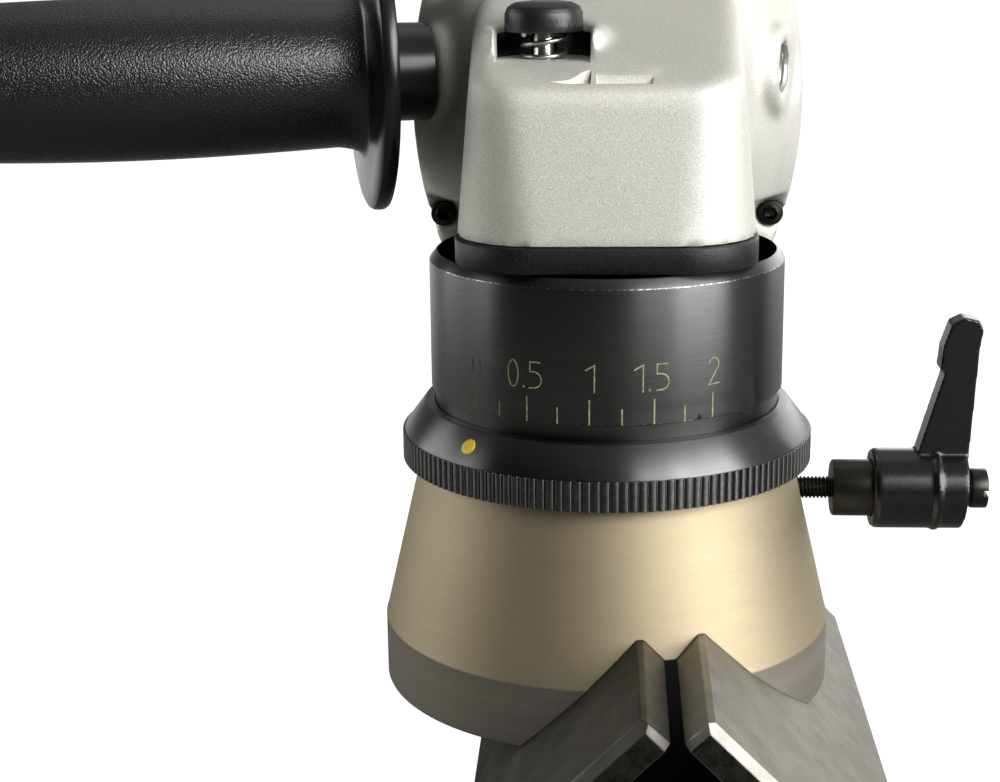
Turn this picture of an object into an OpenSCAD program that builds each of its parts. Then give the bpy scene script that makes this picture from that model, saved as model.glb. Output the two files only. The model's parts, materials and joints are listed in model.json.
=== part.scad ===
// Hand-held electric edge-chamfering machine: a motor and bevel-gear head turn a small
// face cutter inside a conical guide body, and two V rails carry the workpiece's edge
// past it. Turning the knurled ring raises the guide and so sets the chamfer.
// Millimetres. The spindle turns about Z, the motor about Y, and z = 0 is the plane
// on which the rails' feet stand.

/* [Guide rails] */
// Sideways distance from the spindle axis to the centre plane of the V rails
rail_offset = 15.85; // [10:0.05:18]
// Height where the outer faces of the two rails would meet
rail_apex_z = 57.85; // [54:0.05:60]
// Thickness of each rail plate
rail_t = 8.5; // [7:0.1:9.5]
// Half the distance between the tops of the two rails
rail_peak = 7.45; // [7:0.05:8]
// Front end of the rails
rail_front = -104; // [-120:1:-90]
// Back end of the rails
rail_back = 90; // [80:1:110]

/* [Guide body] */
// Outer radius at the top of the cone
cone_top_r = 49.1; // [48.8:0.1:50]
// Outer radius of the band at the foot of the cone
cone_band_r = 59.5; // [58:0.1:62]
// Height of the cone's lower edge
cone_bottom_z = 21.2; // [20:0.1:22]
// Height where the straight band ends and the cone starts
cone_band_z = 37.5; // [34:0.1:40]

/* [Depth ring and scale] */
// Outer radius of the knurled part of the depth ring
ring_r = 53.9; // [53:0.1:56]
// Number of grooves in the straight knurl
knurl_count = 148; // [100:4:160]
// Outer radius of the scale sleeve
sleeve_r = 46; // [45.8:0.1:47]
// Largest chamfer on the scale, measured as its leg
chamfer_max = 2; // [1:0.5:2]
// Chamfer that the ring is set to as drawn, measured as its leg
chamfer_set = 0.125; // [0:0.005:2]
// Lift of the guide body for each turn of the ring
ring_lead = 6; // [4:0.5:8]

/* [Gear head and motor] */
// Height of the motor axis
motor_z = 169.7; // [168:0.1:172]
// Half the width and height of the motor flange
flange_half = 54.5; // [52:0.1:56]
// Radius of the bulged sides of the motor flange
flange_bulge = 122; // [100:1:160]
// Teeth on the crown gear
crown_teeth = 36; // [36:12:36]
// Teeth on the pinion
pinion_teeth = 12; // [12:12:12]
// Back end of the motor housing
motor_back = 196; // [196:1:200]

/* [Handles] */
// Angle by which both side handle sockets lean forwards
handle_lean = 15; // [10:1:18]
// Length of the side handle from its socket face
grip_len = 145; // [120:1:150]
// Back end of the rear handle
rear_end = 366; // [360:1:380]

/* [Clamp lever] */
// Height of the clamp screw's axis
clamp_z = 71.2; // [70:0.1:72]

/* [Hidden] */
$fn = 64;

big = 400;
gap = 0.05;
diag = sqrt(1 / 2);

// V rails: heights and half widths measured from their centre plane
slot_half = rail_peak - rail_t * diag;
peak_z = rail_apex_z - rail_peak;
slot_z = peak_z - rail_t * diag;
v_apex_z = rail_apex_z - rail_t / diag;
right_foot = rail_apex_z;
left_crease = rail_apex_z - cone_bottom_z;
left_foot = left_crease + 13.5;
peak_flat = 0.8;
end_bevel = 2.4;
window_r = 23.5;
cut_z = v_apex_z - chamfer_set * diag;
window_z = v_apex_z - chamfer_max * diag - 0.8;
rail_screw_dx = 18;
right_screw_y = 35.7;
left_screw_y = 54.4;

// Guide body
collar_r = 47.4;
collar_z = 85.9;
cone_top_z = 81.1;
neck_r = 45;
guide_bore = neck_r + gap;
guide_bore_z = 56;
cone_inner_r = 51.5;
groove_r = 46.2;
groove_z = 83;
groove_h = 1.3;

// Depth ring
ring_z = cone_top_z + 0.1;
knurl_top = 89.1;
knurl_depth = 0.45;
ring_top = 96.6;
ring_top_r = 47.8;

// Scale sleeve
sleeve_z = 100.8;
sleeve_top = 136.4;
sleeve_edge_z = 134.1;
rim_r = 44.1;
rim_bore = 43.6;
web_z = 112;
web_top = 122;
pilot_r = 27;
neck_z = 57.5;
neck_bore = 38;
pin_z = 66;
pin_r = 3;

// Bearing plate and gear case
plate_z = 136.7;
case_z = 143.2;
plate_half = 37.6;
plate_corner = 20;
boss_r = 34;
lower_bearing_z = 113;
upper_bearing_z = 166.5;
shaft_r = 8.5;
button_x = -15.6;
button_y = -8;
pocket_r = 11.7;
pocket_z = 185.5;
cap_z = 192.1;
cap_r = 9.9;
lock_r = 3.15;
lock_tip = 160;
socket_x = 48;
socket_y = 33;
socket_z = 178.9;
socket_r = 6;
flange_y = 46;
flange_back = 58;
flange_screw = [46.3, 32.2];

// Bevel gears: cone distance, cone angle of the crown gear and tooth angles
crown_r = 33;
pinion_r = crown_r * pinion_teeth / crown_teeth;
cone_dist = sqrt(crown_r * crown_r + pinion_r * pinion_r);
crown_angle = atan(crown_r / pinion_r);
tooth_add = 3;
tooth_ded = 3.7;
tooth_inner = 0.74;

// Clamp lever along X
bush_x = 59.9;
hub_x = 70.2;
hub_end = 94.9;
hub_r = 10.65;
head_x = 96.1;

// Motor
core_y = 90;
core_len = 50;
stator_r = 43.4;
rotor_r = 24.9;

module at_motor() {
    translate([0, 0, motor_z]) rotate([-90, 0, 0]) children();
}

module at_clamp() {
    translate([0, 0, clamp_z]) rotate([0, 90, 0]) children();
}

// side is 1 for the right socket and -1 for the left one; local +Z leaves the socket
module at_socket(side) {
    translate([side * socket_x, socket_y, socket_z])
        rotate([0, 0, -side * handle_lean]) rotate([0, side * 90, 0]) children();
}

module ring_solid(outer, inner, height) {
    difference() {
        cylinder(r = outer, h = height);
        translate([0, 0, -1]) cylinder(r = inner, h = height + 2);
    }
}

// A length of coil: turns of round wire drawn as a rising row of rings
module coil(mean_r, wire_r, turns, pitch) {
    for (turn = [0 : turns - 1])
        translate([0, 0, wire_r + turn * pitch])
            rotate_extrude() translate([mean_r, 0]) circle(r = wire_r, $fn = 16);
}

module rounded_square(half_x, half_y, corner) {
    square([2 * (half_x - corner), 2 * half_y], center = true);
    square([2 * half_x, 2 * (half_y - corner)], center = true);
    for (sx = [-1, 1], sy = [-1, 1])
        translate([sx * (half_x - corner), sy * (half_y - corner)]) circle(r = corner);
}

// ---------------------------------------------------------------- V rails

// XZ outlines about the rails' centre plane; side is 1 for the right rail
function right_outline() = [
    [slot_half, slot_z],
    [rail_peak - peak_flat, peak_z - peak_flat],
    [rail_peak + peak_flat, peak_z - peak_flat],
    [right_foot, 0],
    [v_apex_z, 0]];

function left_outline() = [
    [slot_half, slot_z],
    [rail_peak - peak_flat, peak_z - peak_flat],
    [rail_peak + peak_flat, peak_z - peak_flat],
    [left_crease, cone_bottom_z],
    [left_foot, 0],
    [v_apex_z, 0]];

module rail(side, outline, screw_y) {
    translate([rail_offset, 0, 0]) difference() {
        translate([0, rail_front, 0]) rotate([90, 0, 0]) mirror([0, 0, 1])
            linear_extrude(height = rail_back - rail_front)
                polygon([for (p = outline) [side * p[0], p[1]]]);
        translate([-rail_offset, 0, window_z]) cylinder(r = window_r, h = 20);
        for (end = [-1, 1])
            translate([0, end > 0 ? rail_back : rail_front, rail_apex_z])
                rotate([0, side * 45, 0]) rotate([end * 45, 0, 0])
                    cube([4 * big, end_bevel * 2 * diag, end_bevel * 2 * diag], center = true);
        for (y = [-screw_y, screw_y])
            at_rail_screw(side, y) {
                translate([0, 0, -1]) cylinder(r = 2.75, h = rail_t + 2);
                cylinder(r1 = 5.15, r2 = 2.75, h = 2.4);
                translate([0, 0, -2]) cylinder(r = 5.15, h = 2.001);
            }
    }
}

// Local +Z runs from the underside of the plate out through its outer face
module at_rail_screw(side, y) {
    translate([side * rail_screw_dx, y, v_apex_z - rail_screw_dx])
        rotate([0, side * 45, 0]) children();
}

module left_rail() {
    color("#5b5853") rail(-1, left_outline(), left_screw_y);
}

module right_rail() {
    color("#5b5853") rail(1, right_outline(), right_screw_y);
}

module rail_screws() {
    color("#8f8f8c") translate([rail_offset, 0, 0])
        for (side = [-1, 1], end = [-1, 1])
            at_rail_screw(side, end * (side > 0 ? right_screw_y : left_screw_y))
                difference() {
                    union() {
                        translate([0, 0, 0.1]) cylinder(r1 = 5, r2 = 2.5, h = 2.5);
                        translate([0, 0, 2.5]) cylinder(r = 2.5, h = 11.5);
                    }
                    translate([0, 0, -0.1]) cylinder(r = 1.7, h = 2.2, $fn = 6);
                }
}

// ---------------------------------------------------------------- guide body

module guide_body() {
    color("#a28c6b") difference() {
        rotate_extrude() polygon([
            [cone_inner_r, cone_bottom_z], [cone_band_r, cone_bottom_z],
            [cone_band_r, cone_band_z], [cone_band_r - 0.3, cone_band_z + 0.8],
            [cone_top_r, cone_top_z], [collar_r, cone_top_z],
            [collar_r, groove_z], [groove_r, groove_z],
            [groove_r, groove_z + groove_h], [collar_r, groove_z + groove_h],
            [collar_r, collar_z], [guide_bore, collar_z],
            [guide_bore, guide_bore_z], [cone_inner_r, 39]]);
        // the rails' outline cut through the foot of the cone, with a tongue between them
        translate([rail_offset, big / 2, 0]) rotate([90, 0, 0])
            linear_extrude(height = big) polygon([
                [-right_foot, -0.01], [-rail_peak - peak_flat, peak_z - peak_flat],
                [-rail_peak + peak_flat, peak_z - peak_flat], [-slot_half, slot_z],
                [slot_half, slot_z], [rail_peak - peak_flat, peak_z - peak_flat],
                [rail_peak + peak_flat, peak_z - peak_flat], [right_foot, -0.01]]);
        translate([rail_offset, 0, 0])
            for (side = [-1, 1], end = [-1, 1])
                at_rail_screw(side, end * (side > 0 ? right_screw_y : left_screw_y))
                    cylinder(r = 2.5, h = 14);
        at_clamp() translate([0, 0, neck_r - 1]) cylinder(r = pin_r + gap, h = 15);
        translate([0, neck_r - 1, pin_z]) rotate([-90, 0, 0]) cylinder(r = pin_r, h = 15);
    }
}

module guide_pin() {
    color("#9a9a98") translate([0, 41.9, pin_z]) rotate([-90, 0, 0])
        cylinder(r = pin_r, h = 10.4);
}

module retaining_ring() {
    color("#6c6c6a") translate([0, 0, groove_z + 0.15]) difference() {
        ring_solid(48.2, groove_r + 0.05, groove_h - 0.3);
        translate([-4, -big / 2, -1]) cube([8, big / 2, 5]);
    }
}

// ---------------------------------------------------------------- depth ring

module depth_ring() {
    color("#27292b") difference() {
        union() {
            translate([0, 0, ring_z]) linear_extrude(height = knurl_top - ring_z)
                polygon([for (i = [0 : 2 * knurl_count - 1])
                    let (a = 180 * i / knurl_count, r = ring_r - (i % 2) * knurl_depth)
                        [r * cos(a), r * sin(a)]]);
            translate([0, 0, knurl_top])
                cylinder(r1 = ring_r - knurl_depth - 0.1, r2 = ring_top_r, h = ring_top - knurl_top);
        }
        rotate_extrude() polygon([
            [0, ring_z - 1], [collar_r + gap, ring_z - 1],
            [collar_r + gap, groove_z - 0.4], [48.6, groove_z - 0.4],
            [48.6, groove_z + groove_h + 0.3], [collar_r + gap, groove_z + groove_h + 0.3],
            [collar_r + gap, collar_z + 0.4], [guide_bore, collar_z + 0.4],
            [guide_bore, ring_top + 1], [0, ring_top + 1]]);
        at_dot() translate([0, 0, -0.6]) cylinder(r = 2.1, h = 5);
    }
}

// The index dot's place on the sloping face, just past the scale's zero mark
module at_dot() {
    rotate([0, 0, -132.2]) translate([50.6, 0, 93.1]) rotate([0, 50, 0]) children();
}

module index_dot() {
    color("#d9c53a") at_dot() translate([0, 0, -0.6]) cylinder(r = 2.1, h = 0.6);
}

// ---------------------------------------------------------------- scale sleeve

module scale_sleeve() {
    color("#232527") difference() {
        rotate_extrude() polygon([
            [neck_bore, neck_z], [neck_r - 0.6, neck_z], [neck_r, neck_z + 0.6],
            [neck_r, sleeve_z], [sleeve_r, sleeve_z], [sleeve_r, sleeve_edge_z],
            [rim_r, sleeve_top], [rim_bore, sleeve_top], [rim_bore, web_top],
            [pilot_r, web_top], [pilot_r, web_z], [neck_bore, web_z]]);
        // slot for the pin that keeps the guide body from turning
        translate([-pin_r - gap, neck_bore - 5, neck_z - 1])
            cube([2 * (pin_r + gap), 12, pin_z - neck_z + 6]);
        for (a = [45 : 90 : 315]) rotate([0, 0, a]) translate([30.6, 0, web_z - 1])
            cylinder(r = 2.75, h = 12);
    }
}

module sleeve_screws() {
    color("#3a3a3a") for (a = [45 : 90 : 315]) rotate([0, 0, a])
        translate([30.6, 0, web_z - 5]) difference() {
            union() {
                cylinder(r = 4.25, h = 5);
                cylinder(r = 2.5, h = 22);
            }
            translate([0, 0, -1]) cylinder(r = 2.3, h = 3.5, $fn = 6);
        }
}

module at_plate_screws() {
    for (x = [-27.3, 27.3], y = [-28, 26.5]) translate([x, y, plate_z]) children();
}

module bearing_plate() {
    color("#1d1e1f") difference() {
        union() {
            translate([0, -2, plate_z]) linear_extrude(height = case_z - plate_z)
                rounded_square(plate_half, plate_half + 1.8, plate_corner);
            translate([0, 0, web_top]) cylinder(r = boss_r, h = plate_z - web_top);
            translate([0, 0, web_z]) cylinder(r = pilot_r, h = web_top - web_z);
        }
        translate([0, 0, web_z - 1]) cylinder(r = 20, h = 14);
        translate([0, 0, web_z]) cylinder(r = 11, h = 40);
        for (a = [45 : 90 : 315]) rotate([0, 0, a]) translate([30.6, 0, web_top - 1])
            cylinder(r = 2.5, h = 12);
        at_plate_screws() {
            translate([0, 0, -1]) cylinder(r = 2.75, h = 12);
            translate([0, 0, -0.01]) cylinder(r1 = 5.2, r2 = 2.75, h = 2.6);
        }
    }
}

module plate_screws() {
    color("#4a4a4a") at_plate_screws() difference() {
        union() {
            translate([0, 0, 0.2]) cylinder(r1 = 4.9, r2 = 2.5, h = 2.4);
            translate([0, 0, 2]) cylinder(r = 2.5, h = 16);
        }
        translate([0, 0, -0.1]) cylinder(r = 1.7, h = 2, $fn = 6);
    }
}

// ---------------------------------------------------------------- gear case

module soft_disc(r, h, edge) {
    rotate_extrude($fn = 32) {
        square([r - edge, h]);
        translate([0, edge]) square([r, h - 2 * edge]);
        for (z = [edge, h - edge]) translate([r - edge, z]) circle(r = edge, $fn = 24);
    }
}

module flange_outline(shrink) {
    half = flange_half - shrink;
    intersection() {
        rounded_square(half, half, 34);
        intersection_for (a = [0, 90, 180, 270]) rotate([0, 0, a])
            translate([flange_bulge - half, 0]) circle(r = flange_bulge, $fn = 128);
    }
}

module case_block() {
    hull() {
        for (s = [-1, 1]) {
            translate([s * 17, -20.5, case_z]) cylinder(r = 20, h = 1, $fn = 32);
            translate([s * 25.6, 22, case_z]) cylinder(r = 12, h = 1, $fn = 32);
            translate([s * 21, -22.3, 170.3]) rotate([20, 0, 0]) soft_disc(12.5, 15, 5.5);
            translate([s * 21, 16.1, 184.4]) rotate([20, 0, 0]) soft_disc(13.5, 15, 5.5);
        }
    }
}

module case_flare() {
    hull() {
        translate([0, 14, motor_z]) rotate([-90, 0, 0]) linear_extrude(height = 1)
            translate([0, -0.8]) rounded_square(35, 25.4, 13);
        translate([0, flange_y, 0]) at_motor() linear_extrude(height = 1) flange_outline(0.5);
    }
}

module gear_case() {
    color("#b9b9b5") difference() {
        union() {
            case_block();
            case_flare();
            translate([0, flange_y, 0]) at_motor()
                linear_extrude(height = flange_back - flange_y) flange_outline(0);
            for (side = [-1, 1]) at_socket(side) translate([0, 0, -20])
                cylinder(r1 = 17, r2 = 11.5, h = 20);
            translate([button_x, button_y, pocket_z - 6]) soft_disc(16.3, 14.4, 3);
            arrow();
        }
        // room for the bearing plate and the sleeve in front of the motor flange
        translate([-big / 2, flange_y + 0.4 - big, case_z - big]) cube(big);
        // gear chamber, bearing seats and the motor side
        translate([0, 0, case_z - 1]) cylinder(r = 35.2, h = 19);
        translate([0, 0, case_z + 10]) cylinder(r = 31.5, h = 11);
        translate([0, 0, case_z + 10]) cylinder(r = 13, h = upper_bearing_z + 8 - case_z - 10);
        at_motor() {
            translate([0, 0, 20.5]) cylinder(r = 14, h = 30);
            translate([0, 0, 38.5]) cylinder(r = 17.5, h = 30);
            translate([0, 0, 50]) cylinder(r = 44, h = 10);
            for (sx = [-1, 1], sy = [-1, 1])
                translate([sx * flange_screw[0], sy * flange_screw[1], 0]) {
                    cylinder(r = 2.2, h = 70);
                    cylinder(r = 3.8, h = 50);
                }
        }
        // pocket and pin bore of the spindle lock
        translate([button_x, button_y, pocket_z]) {
            cylinder(r = pocket_r, h = 30);
            translate([-pocket_r, -30, 0]) cube([2 * pocket_r, 30, 30]);
        }
        translate([button_x, button_y, case_z]) cylinder(r = lock_r + gap, h = 50);
        for (side = [-1, 1]) at_socket(side) {
            translate([0, 0, -20]) cylinder(r = socket_r, h = 21);
            cylinder(r = 13.7, h = 12);
            translate([0, 0, -1.2]) cylinder(r1 = socket_r, r2 = socket_r + 1.3, h = 1.3);
        }
        at_plate_screws() cylinder(r = 2.5, h = 20);
    }
}

// Raised arrow for the direction of rotation, on the sloping top of the case
module arrow() {
    translate([0, -29, 183.4]) rotate([20, 0, 0]) linear_extrude(height = 1.4)
        polygon([[-12, 0], [-2.7, 3.6], [-2.7, 1.6], [11.2, 1.6], [11.2, -1.6],
            [-2.7, -1.6], [-2.7, -3.6]]);
}

// ---------------------------------------------------------------- gears and spindle

// A point at a cone angle from the gear's axis and an azimuth, apex at the origin
function on_cone(angle, azimuth, scale_by) = cone_dist * scale_by *
    [sin(angle) * cos(azimuth), sin(angle) * sin(azimuth), cos(angle)];

// One tapered bevel tooth: widths are half angles about the gear's axis at root and tip
module bevel_tooth(pitch_angle, root_half, tip_half) {
    low = pitch_angle - tooth_ded - 0.4;
    high = pitch_angle + tooth_add;
    polyhedron(
        points = [for (k = [1, tooth_inner]) each [
            on_cone(low, -root_half, k), on_cone(low, root_half, k),
            on_cone(high, tip_half, k), on_cone(high, -tip_half, k)]],
        faces = [[0, 1, 2, 3], [7, 6, 5, 4], [0, 4, 5, 1], [1, 5, 6, 2], [2, 6, 7, 3],
            [3, 7, 4, 0]]);
}

// Radius and height below the apex of the root cone at either end of the teeth
function root_point(pitch_angle, k) = cone_dist * k *
    [sin(pitch_angle - tooth_ded), cos(pitch_angle - tooth_ded)];

module crown_gear() {
    outer = root_point(crown_angle, 1);
    inner = root_point(crown_angle, tooth_inner);
    color("#8d8b86") translate([0, 0, motor_z]) mirror([0, 0, 1]) difference() {
        union() {
            rotate_extrude() polygon([
                [7, 23.2], [26, 23.2], [outer[0], outer[1] + 4], outer, inner,
                [inner[0] - 1, inner[1] + 1.6], [12, inner[1] + 1.6], [12, 8.5], [7, 8.5]]);
            for (i = [0 : crown_teeth - 1])
                rotate([0, 0, 90 + (i + 0.5) * 360 / crown_teeth])
                    bevel_tooth(crown_angle, 3.6, 1.2);
        }
        for (a = [0 : 60 : 300]) rotate([0, 0, a + atan2(button_y, button_x)])
            translate([norm([button_x, button_y]), 0, 5]) cylinder(r = lock_r + 0.25, h = 30);
    }
}

module pinion() {
    gamma = 90 - crown_angle;
    outer = root_point(gamma, 1);
    inner = root_point(gamma, tooth_inner);
    color("#8d8b86") at_motor() {
        rotate_extrude() polygon([
            [6, 22.5], [inner[0] - 0.4, 22.5], inner, outer, [outer[0], outer[1] + 3],
            [9, 37.5], [6, 37.5]]);
        for (i = [0 : pinion_teeth - 1]) rotate([0, 0, 90 + i * 360 / pinion_teeth])
            bevel_tooth(gamma, 12, 3);
    }
}

module spindle() {
    color("#a9a8a4") rotate_extrude() polygon([
        [0, 74], [2.95, 74], [2.95, 60], [7, 60], [7, 97.5], [shaft_r, 97.5],
        [shaft_r, 126], [10, 126], [10, 146.5], [7, 146.5], [7, 162.5], [5, 162.5], [5, 174], [0, 174]]);
}

// Outer race with grooved bore; r is outer radius, b is bore radius, w is width
module outer_race(r, b, w) {
    ball = (r - b) * 0.27;
    rotate_extrude() difference() {
        translate([r - (r - b) * 0.3, 0]) square([(r - b) * 0.3, w]);
        translate([(r + b) / 2, w / 2]) circle(r = ball + gap, $fn = 32);
    }
}

module inner_race(r, b, w) {
    ball = (r - b) * 0.27;
    rotate_extrude() difference() {
        translate([b, 0]) square([(r - b) * 0.3, w]);
        translate([(r + b) / 2, w / 2]) circle(r = ball + gap, $fn = 32);
    }
    for (a = [0 : 45 : 315]) rotate([0, 0, a]) translate([(r + b) / 2, 0, w / 2])
        sphere(r = ball, $fn = 24);
}

module spindle_bearing_outers() {
    color("#b4b4b0") {
        translate([0, 0, lower_bearing_z]) outer_race(20, shaft_r, 12);
        translate([0, 0, upper_bearing_z]) outer_race(13, 5, 7.5);
    }
}

module spindle_bearing_inners() {
    color("#c4c4c0") {
        translate([0, 0, lower_bearing_z]) inner_race(20, shaft_r, 12);
        translate([0, 0, upper_bearing_z]) inner_race(13, 5, 7.5);
    }
}

// ---------------------------------------------------------------- cutter

insert_count = 4;
insert_size = 9.5;
insert_t = 3.2;
cutter_r = 21.3;
head_z = cut_z + 1.4;

module at_inserts() {
    for (i = [0 : insert_count - 1]) rotate([0, 0, 45 + i * 360 / insert_count])
        translate([cutter_r - insert_size, 0, cut_z]) children();
}

module cutter_head() {
    color("#6f6d68") difference() {
        union() {
            translate([0, 0, head_z]) cylinder(r = cutter_r - 0.5, h = 14);
            translate([0, 0, head_z]) cylinder(r = 13.5, h = 97.5 - head_z);
        }
        translate([0, 0, 60]) cylinder(r = 7, h = 50);
        translate([0, 0, head_z - 1]) cylinder(r = 5.3, h = 7);
        translate([0, 0, head_z]) cylinder(r = 3, h = 20);
        at_inserts() {
            translate([-0.1, -insert_t, -1]) cube([20, insert_t, insert_size + 1.1]);
            translate([-2, -insert_t - 6, -1]) cube([20, 6.01, insert_size + 5]);
            translate([insert_size / 2, -1, insert_size / 2]) rotate([-90, 0, 0])
                cylinder(r = 1.6, h = 7);
        }
    }
}

module cutter_inserts() {
    color("#cdb04a") at_inserts() difference() {
        translate([0, -insert_t, 0]) cube([insert_size, insert_t, insert_size]);
        translate([insert_size / 2, -insert_t - 1, insert_size / 2]) rotate([-90, 0, 0])
            cylinder(r = 2, h = insert_t + 2);
    }
}

module insert_screws() {
    color("#55534f") at_inserts()
        translate([insert_size / 2, -insert_t - 0.4, insert_size / 2]) rotate([-90, 0, 0]) {
            cylinder(r = 1.95, h = insert_t + 0.3);
            cylinder(r = 1.55, h = 8);
        }
}

module cutter_bolt() {
    color("#3c3c3b") translate([0, 0, head_z + 0.6]) difference() {
        union() {
            cylinder(r = 5, h = 5.4);
            cylinder(r = 2.95, h = 73 - head_z - 0.6);
        }
        translate([0, 0, -1]) cylinder(r = 2.6, h = 4, $fn = 6);
    }
}

// ---------------------------------------------------------------- motor, inside

module armature_shaft() {
    color("#a3a19c") at_motor() rotate_extrude() polygon([
        [0, 21], [6, 21], [6, 38], [7.5, 38], [7.5, 80], [6.5, 80], [6.5, 176],
        [5, 176], [5, 189], [0, 189]]);
}

module armature_core() {
    slots = 20;
    color("#6d625a") at_motor() translate([0, 0, core_y]) linear_extrude(height = core_len)
        difference() {
            circle(r = rotor_r);
            circle(r = 6.5);
            for (i = [0 : slots - 1]) rotate([0, 0, i * 360 / slots]) {
                translate([16, -1.5]) square([7, 3]);
                translate([20, -0.7]) square([6, 1.4]);
            }
        }
}

module armature_windings() {
    color("#b06a34") at_motor() for (z = [core_y - 11, core_y + core_len])
        translate([0, 0, z]) rotate_extrude() polygon([
            [7.6, 0.5], [18, 0.5], [22.6, 3], [22.6, 8], [18, 10.8], [7.6, 10.8]]);
}

module commutator() {
    bars = 24;
    color("#bd7f45") at_motor() translate([0, 0, 154]) {
        linear_extrude(height = 18) difference() {
            circle(r = 16.5);
            circle(r = 6.5);
            for (i = [0 : bars - 1]) rotate([0, 0, i * 360 / bars])
                translate([14.5, -0.3]) square([3, 0.6]);
        }
    }
}

module fan() {
    blades = 12;
    color("#2d2d2d") at_motor() {
        translate([0, 0, 58.5]) ring_solid(42, 7.5, 2);
        translate([0, 0, 58.5]) ring_solid(12, 7.5, 14);
        for (i = [0 : blades - 1]) rotate([0, 0, i * 360 / blades])
            translate([20, 0, 60]) rotate([0, 0, 25]) cube([20, 1.8, 11.5]);
    }
}

module motor_bearing_outers() {
    color("#b4b4b0") at_motor() {
        translate([0, 0, 38.6]) outer_race(17.5, 7.5, 11);
        translate([0, 0, 180]) outer_race(13, 5, 8);
    }
}

module motor_bearing_inners() {
    color("#c4c4c0") at_motor() {
        translate([0, 0, 38.6]) inner_race(17.5, 7.5, 11);
        translate([0, 0, 180]) inner_race(13, 5, 8);
    }
}

module stator_core() {
    color("#77706a") at_motor() translate([0, 0, core_y]) linear_extrude(height = core_len)
        difference() {
            circle(r = stator_r);
            circle(r = rotor_r + 0.7);
            // winding windows either side of the two poles
            for (a = [0, 180]) rotate([0, 0, a]) intersection() {
                translate([10, -24]) square([40, 48]);
                difference() {
                    circle(r = stator_r - 8);
                    circle(r = rotor_r - 1);
                }
            }
        }
}

module field_coils() {
    color("#a9672f") at_motor() for (a = [0, 180]) rotate([0, 0, a]) {
        for (z = [core_y - 9, core_y + core_len + 0.5]) translate([0, 0, z])
            rotate([0, 0, 28]) rotate_extrude(angle = 124) translate([27, 0]) square([8, 8.5]);
        for (s = [-1, 1]) translate([0, 0, core_y - 8]) rotate([0, 0, s * 36 - 4])
            rotate_extrude(angle = 8) translate([27.4, 0]) square([7.2, core_len + 16]);
    }
}

module air_baffle() {
    color("#3a3a3c") at_motor() translate([0, 0, 73]) ring_solid(43.4, 30, 2.5);
}

module brush_holders() {
    color("#b59a56") at_motor() for (s = [-1, 1]) translate([s * 30, 0, 163]) difference() {
        cube([23, 12, 14], center = true);
        cube([25, 8.1, 10.1], center = true);
    }
}

module carbon_brushes() {
    color("#2a2a2a") at_motor() for (s = [-1, 1]) translate([s * 24.4, 0, 163])
        cube([15.6, 8, 10], center = true);
}

module brush_springs() {
    color("#8f8f8c") at_motor() for (s = [-1, 1])
        translate([s * 32.3, 0, 163]) rotate([0, s * 90, 0]) coil(3, 0.4, 7, 1.2);
}

// ---------------------------------------------------------------- motor, outside

module motor_housing() {
    color("#2b2d2f") difference() {
        union() {
            translate([0, flange_back, 0]) at_motor() linear_extrude(height = 9)
                flange_outline(0.8);
            at_motor() rotate_extrude() polygon([
                [43, 60], [52, 66], [48.2, 78], [47.4, 150], [46.4, motor_back],
                [30, motor_back]]);
        }
        at_motor() rotate_extrude() polygon([
            [0, flange_back - 1], [43.5, flange_back - 1], [43.5, 178], [40, 178],
            [16, 178], [13, 179.5], [13, 188.1], [0, 188.1]]);
        at_motor() {
            for (a = [30 : 60 : 330]) rotate([0, 0, a]) translate([18, -7, 170])
                cube([20, 14, 40]);
            // air outlets behind the flange
            for (a = [-40, -24, 24, 40, 140, 156, 204, 220]) rotate([0, 0, a])
                translate([38, -2, 70]) cube([20, 4, 12]);
            for (sx = [-1, 1], sy = [-1, 1])
                translate([sx * flange_screw[0], sy * flange_screw[1], 50])
                    cylinder(r = 2, h = 40);
        }
    }
}

module flange_screws() {
    color("#9b9b98") at_motor() for (sx = [-1, 1], sy = [-1, 1])
        translate([sx * flange_screw[0], sy * flange_screw[1], 45]) difference() {
            union() {
                translate([0, 0, 1]) cylinder(r = 3.5, h = 4);
                cylinder(r = 2, h = 20);
            }
            translate([0, 0, -1]) cylinder(r = 1.7, h = 4, $fn = 6);
        }
}

// ---------------------------------------------------------------- clamp lever

module thrust_pad() {
    color("#b8964a") at_clamp() translate([0, 0, neck_r + 0.02]) cylinder(r = 2.4, h = 2.4);
}

module clamp_stud() {
    color("#33312e") at_clamp() difference() {
        union() {
            translate([0, 0, 47.5]) cylinder(r = pin_r, h = bush_x - 47);
            translate([0, 0, bush_x]) cylinder(r1 = 7, r2 = 7.55, h = 0.6);
            translate([0, 0, bush_x + 0.5]) cylinder(r = 7.55, h = 11.2);
            translate([0, 0, 71]) linear_extrude(height = 7) polygon(
                [for (i = [0 : 39]) let (a = 9 * i, r = 6.4 - (i % 2) * 0.5)
                    [r * cos(a), r * sin(a)]]);
        }
        translate([0, 0, 70]) cylinder(r = 2.5, h = 20);
    }
}

module lever_screw() {
    color("#4d4b45") at_clamp() difference() {
        union() {
            translate([0, 0, 70.1]) cylinder(r = 2.5, h = head_x - 70);
            translate([0, 0, head_x]) cylinder(r1 = 4.9, r2 = 5.25, h = 0.4);
            translate([0, 0, head_x + 0.4]) cylinder(r = 5.25, h = 4.1);
        }
        translate([-0.7, -6, head_x + 3.2]) cube([1.4, 12, 2]);
    }
}

module lever_spring() {
    color("#7d7b76") at_clamp() translate([0, 0, 89]) coil(3.5, 0.45, 5, 1.55);
}

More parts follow.
